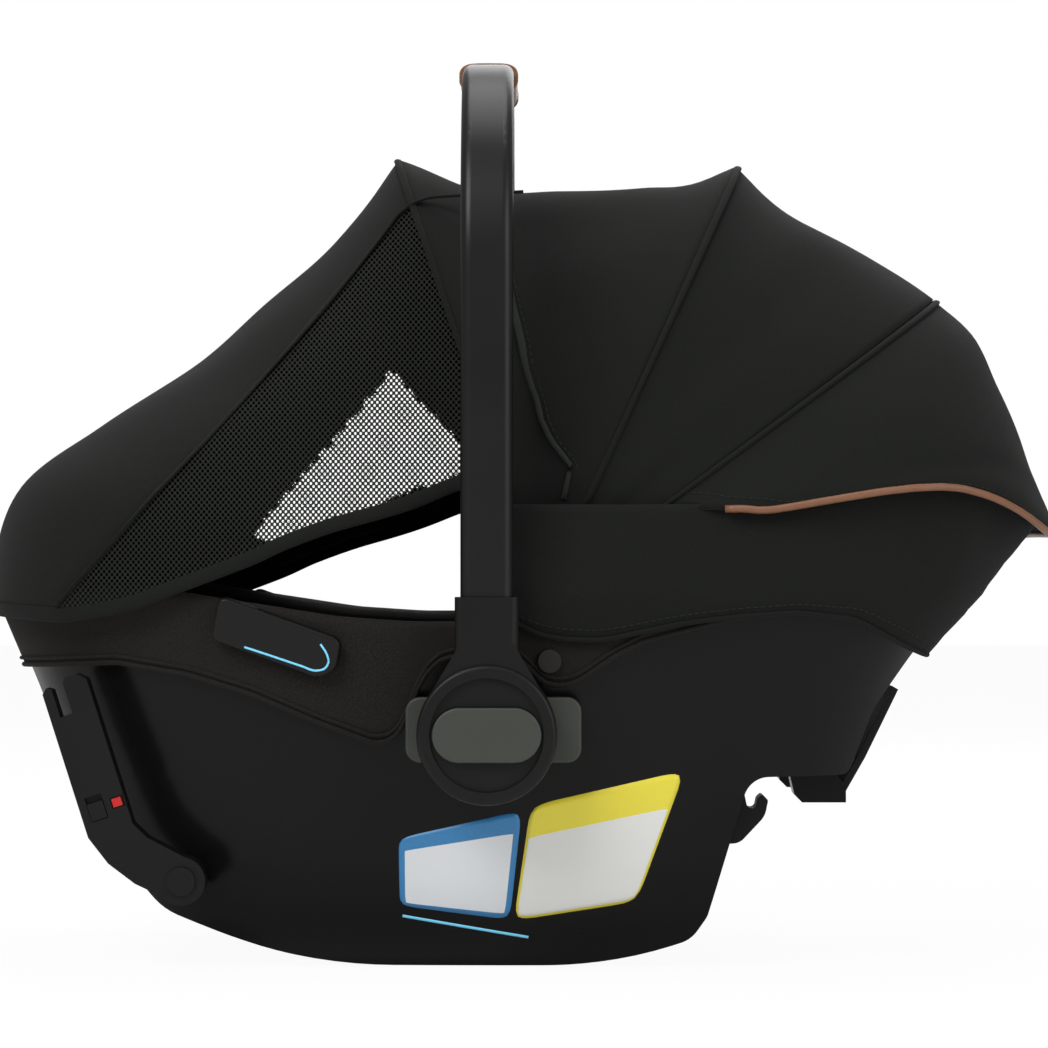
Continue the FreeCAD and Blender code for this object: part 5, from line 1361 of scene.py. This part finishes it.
def film(name, corners, made, columns=26, rows=18, round_share=0.06):
    """A thin film with rounded corners, laid on the near side of the shell."""
    tree = surface_of("shell")
    points, uvs, faces = [], [], []
    low_foot, low_head, high_head, high_foot = (np.array(corner) for corner in corners)
    for j in range(rows + 1):
        for i in range(columns + 1):
            u, v = i / columns, j / rows
            cu, cv = 2 * u - 1, 2 * v - 1
            along = 0.5 + 0.5 * cu * (1 - round_share * abs(cv) ** 12)
            up = 0.5 + 0.5 * cv * (1 - round_share * abs(cu) ** 12)
            low = low_foot * (1 - along) + low_head * along
            high = high_foot * (1 - along) + high_head * along
            x, z = low * (1 - up) + high * up
            hit, normal = surface_hit(tree, x, z, -1)
            if normal.y > 0:
                normal = -normal
            points.append(hit + normal * 0.0004)
            uvs.append((u, v))
    for j in range(rows):
        for i in range(columns):
            k = j * (columns + 1) + i
            faces.append((k, k + 1, k + columns + 2, k + columns + 1))
    thing = mesh_object(name, points, faces, uvs)
    face_outwards(thing, (0.0, 0.0, 0.1))
    thicken(thing, FILM_THICKNESS)
    paint(thing, made)
    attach(thing, "carrier")
    return thing


def guide_line(name, node, side):
    """The coloured line on a belt guide's plate."""
    tree = surface_of(node)
    points = []
    for place in smooth_line([(x, 0, z) for x, z in GUIDE_LINE], 40):
        hit, _ = surface_hit(tree, place.x, place.z, side)
        if hit is not None:
            points.append(hit + Vector((0, side * 0.0002, 0)))
    line = tube(name, points, GUIDE_LINE_RADIUS)
    paint(line, finish("line_blue"))
    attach(line, "carrier")
    return line


class CARRIER_OT_films(bpy.types.Operator):
    """Makes the blank films, the level line and the lines on the belt guides"""

    bl_idname = "carrier.films"
    bl_label = "Blank films"

    def execute(self, context):
        film("film_blue", BLUE_FILM, finish("paper_blue"))
        film("film_yellow", YELLOW_FILM, finish("paper_yellow"))
        film("level_line", LEVEL_LINE, finish("line_blue"), columns=40, rows=2, round_share=0.0)
        guide_line("guide_line_left", "belt_guide_left", -1)
        guide_line("guide_line_right", "belt_guide_right", 1)
        return {"FINISHED"}


GRIP_SEAM_HALF = 0.0022  # half the distance between the grip's two rows of stitches
GRIP_STITCH = (0.0034, 0.00045, 0.0012)  # length, radius and gap
GRIP_END = 0.004  # from the grip's end to its first stitch
GRIP_EDGE_RADIUS = 0.0007


class CARRIER_OT_grip_details(bpy.types.Operator):
    """Makes the stitches along the underside of the leather grip, and its turned edges"""

    bl_idname = "carrier.grip_details"
    bl_label = "Grip seam"

    def execute(self, context):
        low, high = (Vector(p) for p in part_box("handle_grip"))
        middle = (low.x + high.x) / 2
        span = high.y - low.y - 2 * GRIP_END
        for k, x in enumerate((middle - GRIP_SEAM_HALF, middle + GRIP_SEAM_HALF)):
            path = [Vector((x, low.y + GRIP_END + span * i / 40, low.z - 0.0001)) for i in range(41)]
            thread = stitches(f"grip_stitches_{k}", path, *GRIP_STITCH)
            paint(thread, finish("tan_thread"))
            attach(thread, "handle")
        half, deep = (high.x - low.x) / 2 - 0.0002, (high.z - low.z) / 2 - 0.0002
        for name, y in (("near", low.y + 0.0008), ("far", high.y - 0.0008)):
            ring = []
            for i in range(48):
                a = 2 * math.pi * i / 48
                x = middle + half * math.copysign(abs(math.cos(a)) ** 0.45, math.cos(a))
                z = (low.z + high.z) / 2 + deep * math.copysign(abs(math.sin(a)) ** 0.75, math.sin(a))
                ring.append((x, y, z))
            edge = tube(f"grip_edge_{name}", ring, GRIP_EDGE_RADIUS, loop=True)
            paint(edge, finish("leather"))
            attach(edge, "handle")
        return {"FINISHED"}


FLOOR_SIZE = 14.0
FLOOR_DROP = 0.0006  # below the carrier's rocker
LAMP_TARGET = Vector((0.03, 0.0, 0.27))
LAMPS = (  # (name, place, size, power)
    ("lamp_key", (-1.3, -2.0, 2.2), 1.6, 62.0),
    ("lamp_fill", (1.9, -1.7, 1.2), 1.8, 26.0),
    ("lamp_top", (0.1, 0.4, 2.6), 1.8, 34.0),
    ("lamp_back", (0.4, 2.4, 1.5), 1.8, 24.0),
)
CAMERA_PLACE = (0.0304, -2.8, 0.2798)
CAMERA_LENS = 145.7
CAMERA_REACH = 40.0
AMBIENT = 0.32  # the backdrop's light on the carrier; it is seen at full white


def white_floor():
    """A pale floor that takes shadows and looks white."""
    clear_selection()
    bpy.ops.mesh.primitive_plane_add(size=FLOOR_SIZE, location=(0.0, 0.0, -FLOOR_DROP))
    floor = bpy.context.active_object
    floor.name = "studio_floor"
    made, tree, shader = shaded("studio_white")
    shader.inputs["Base Color"].default_value = (0.80, 0.80, 0.80, 1.0)
    shader.inputs["Roughness"].default_value = 0.9
    shader.inputs["Specular IOR Level"].default_value = 0.0
    path = put(tree, "ShaderNodeLightPath")
    glow = put(tree, "ShaderNodeEmission", Color=(1.0, 1.0, 1.0, 1.0), Strength=1.0)
    blend = put(tree, "ShaderNodeMixShader")
    share = calc(tree, "MULTIPLY", path.outputs["Is Camera Ray"], 0.95)
    tree.links.new(share, blend.inputs[0])
    tree.links.new(shader.outputs[0], blend.inputs[1])
    tree.links.new(glow.outputs[0], blend.inputs[2])
    tree.links.new(blend.outputs[0], tree.nodes["Material Output"].inputs["Surface"])
    paint(floor, made)


def white_world(scene):
    """A backdrop that is seen as white and lights softly."""
    world = bpy.data.worlds.new("studio_world")
    world.use_nodes = True
    scene.world = world
    tree = world.node_tree
    back = tree.nodes["Background"]
    path = put(tree, "ShaderNodeLightPath")
    seen = calc(tree, "MAXIMUM", path.outputs["Is Camera Ray"], path.outputs["Is Transmission Ray"])
    tree.links.new(calc(tree, "MULTIPLY_ADD", seen, 1 - AMBIENT, AMBIENT), back.inputs["Strength"])
    back.inputs["Color"].default_value = (1.0, 1.0, 1.0, 1.0)


def placed(scene, name, data, place):
    """A lamp or a camera at its place."""
    holder = bpy.data.objects.new(name, data)
    scene.collection.objects.link(holder)
    holder.location = place
    return holder


class CARRIER_OT_stage(bpy.types.Operator):
    """Sets the pale floor, the backdrop, soft studio lamps and the camera"""

    bl_idname = "carrier.stage"
    bl_label = "Stage, lamps and camera"

    def execute(self, context):
        scene = context.scene
        scene.view_settings.view_transform = "Standard"
        white_floor()
        white_world(scene)
        for name, place, size, power in LAMPS:
            lamp = bpy.data.lights.new(name, "AREA")
            lamp.size = size
            lamp.energy = power
            holder = placed(scene, name, lamp, place)
            holder.rotation_euler = (LAMP_TARGET - Vector(place)).to_track_quat("-Z", "Y").to_euler()
        eye = bpy.data.cameras.new("camera")
        eye.sensor_width = 36.0
        eye.lens = CAMERA_LENS
        eye.clip_end = CAMERA_REACH
        holder = placed(scene, "camera", eye, CAMERA_PLACE)
        holder.rotation_euler = (math.radians(90), 0.0, 0.0)
        scene.camera = holder
        return {"FINISHED"}


# Every operator, in the order that main calls them.
STEPS = [
    CARRIER_OT_stage, CARRIER_OT_finishes, CARRIER_OT_canopy_front, CARRIER_OT_canopy_middle,
    CARRIER_OT_canopy_flap, CARRIER_OT_sunshade, CARRIER_OT_side_cover, CARRIER_OT_head_skirt,
    CARRIER_OT_seat_pad, CARRIER_OT_infant_insert, CARRIER_OT_harness, CARRIER_OT_films,
    CARRIER_OT_grip_details,
]


class CARRIER_PT_looks(bpy.types.Panel):
    """Lists the carrier's pieces, sizes and colours"""

    bl_idname = "CARRIER_PT_looks"
    bl_label = "Carrier looks"
    bl_space_type = "VIEW_3D"
    bl_region_type = "UI"
    bl_category = "Carrier"

    def draw(self, context):
        layout = self.layout
        for holder in (context.scene.carrier_sizes, context.scene.carrier_colours):
            box = layout.box()
            for key in holder.__annotations__:
                box.prop(holder, key)
        for step in STEPS:
            layout.operator(step.bl_idname)


CLASSES = [CarrierColours, CarrierSizes] + STEPS + [CARRIER_PT_looks]


def register():
    for kind in CLASSES:
        bpy.utils.register_class(kind)
    bpy.types.Scene.carrier_colours = bpy.props.PointerProperty(type=CarrierColours)
    bpy.types.Scene.carrier_sizes = bpy.props.PointerProperty(type=CarrierSizes)


def unregister():
    del bpy.types.Scene.carrier_sizes
    del bpy.types.Scene.carrier_colours
    for kind in reversed(CLASSES):
        bpy.utils.unregister_class(kind)


def main():
    register()
    for step in STEPS:
        family, name = step.bl_idname.split(".")
        getattr(getattr(bpy.ops, family), name)()


if __name__ == "__main__":
    main()
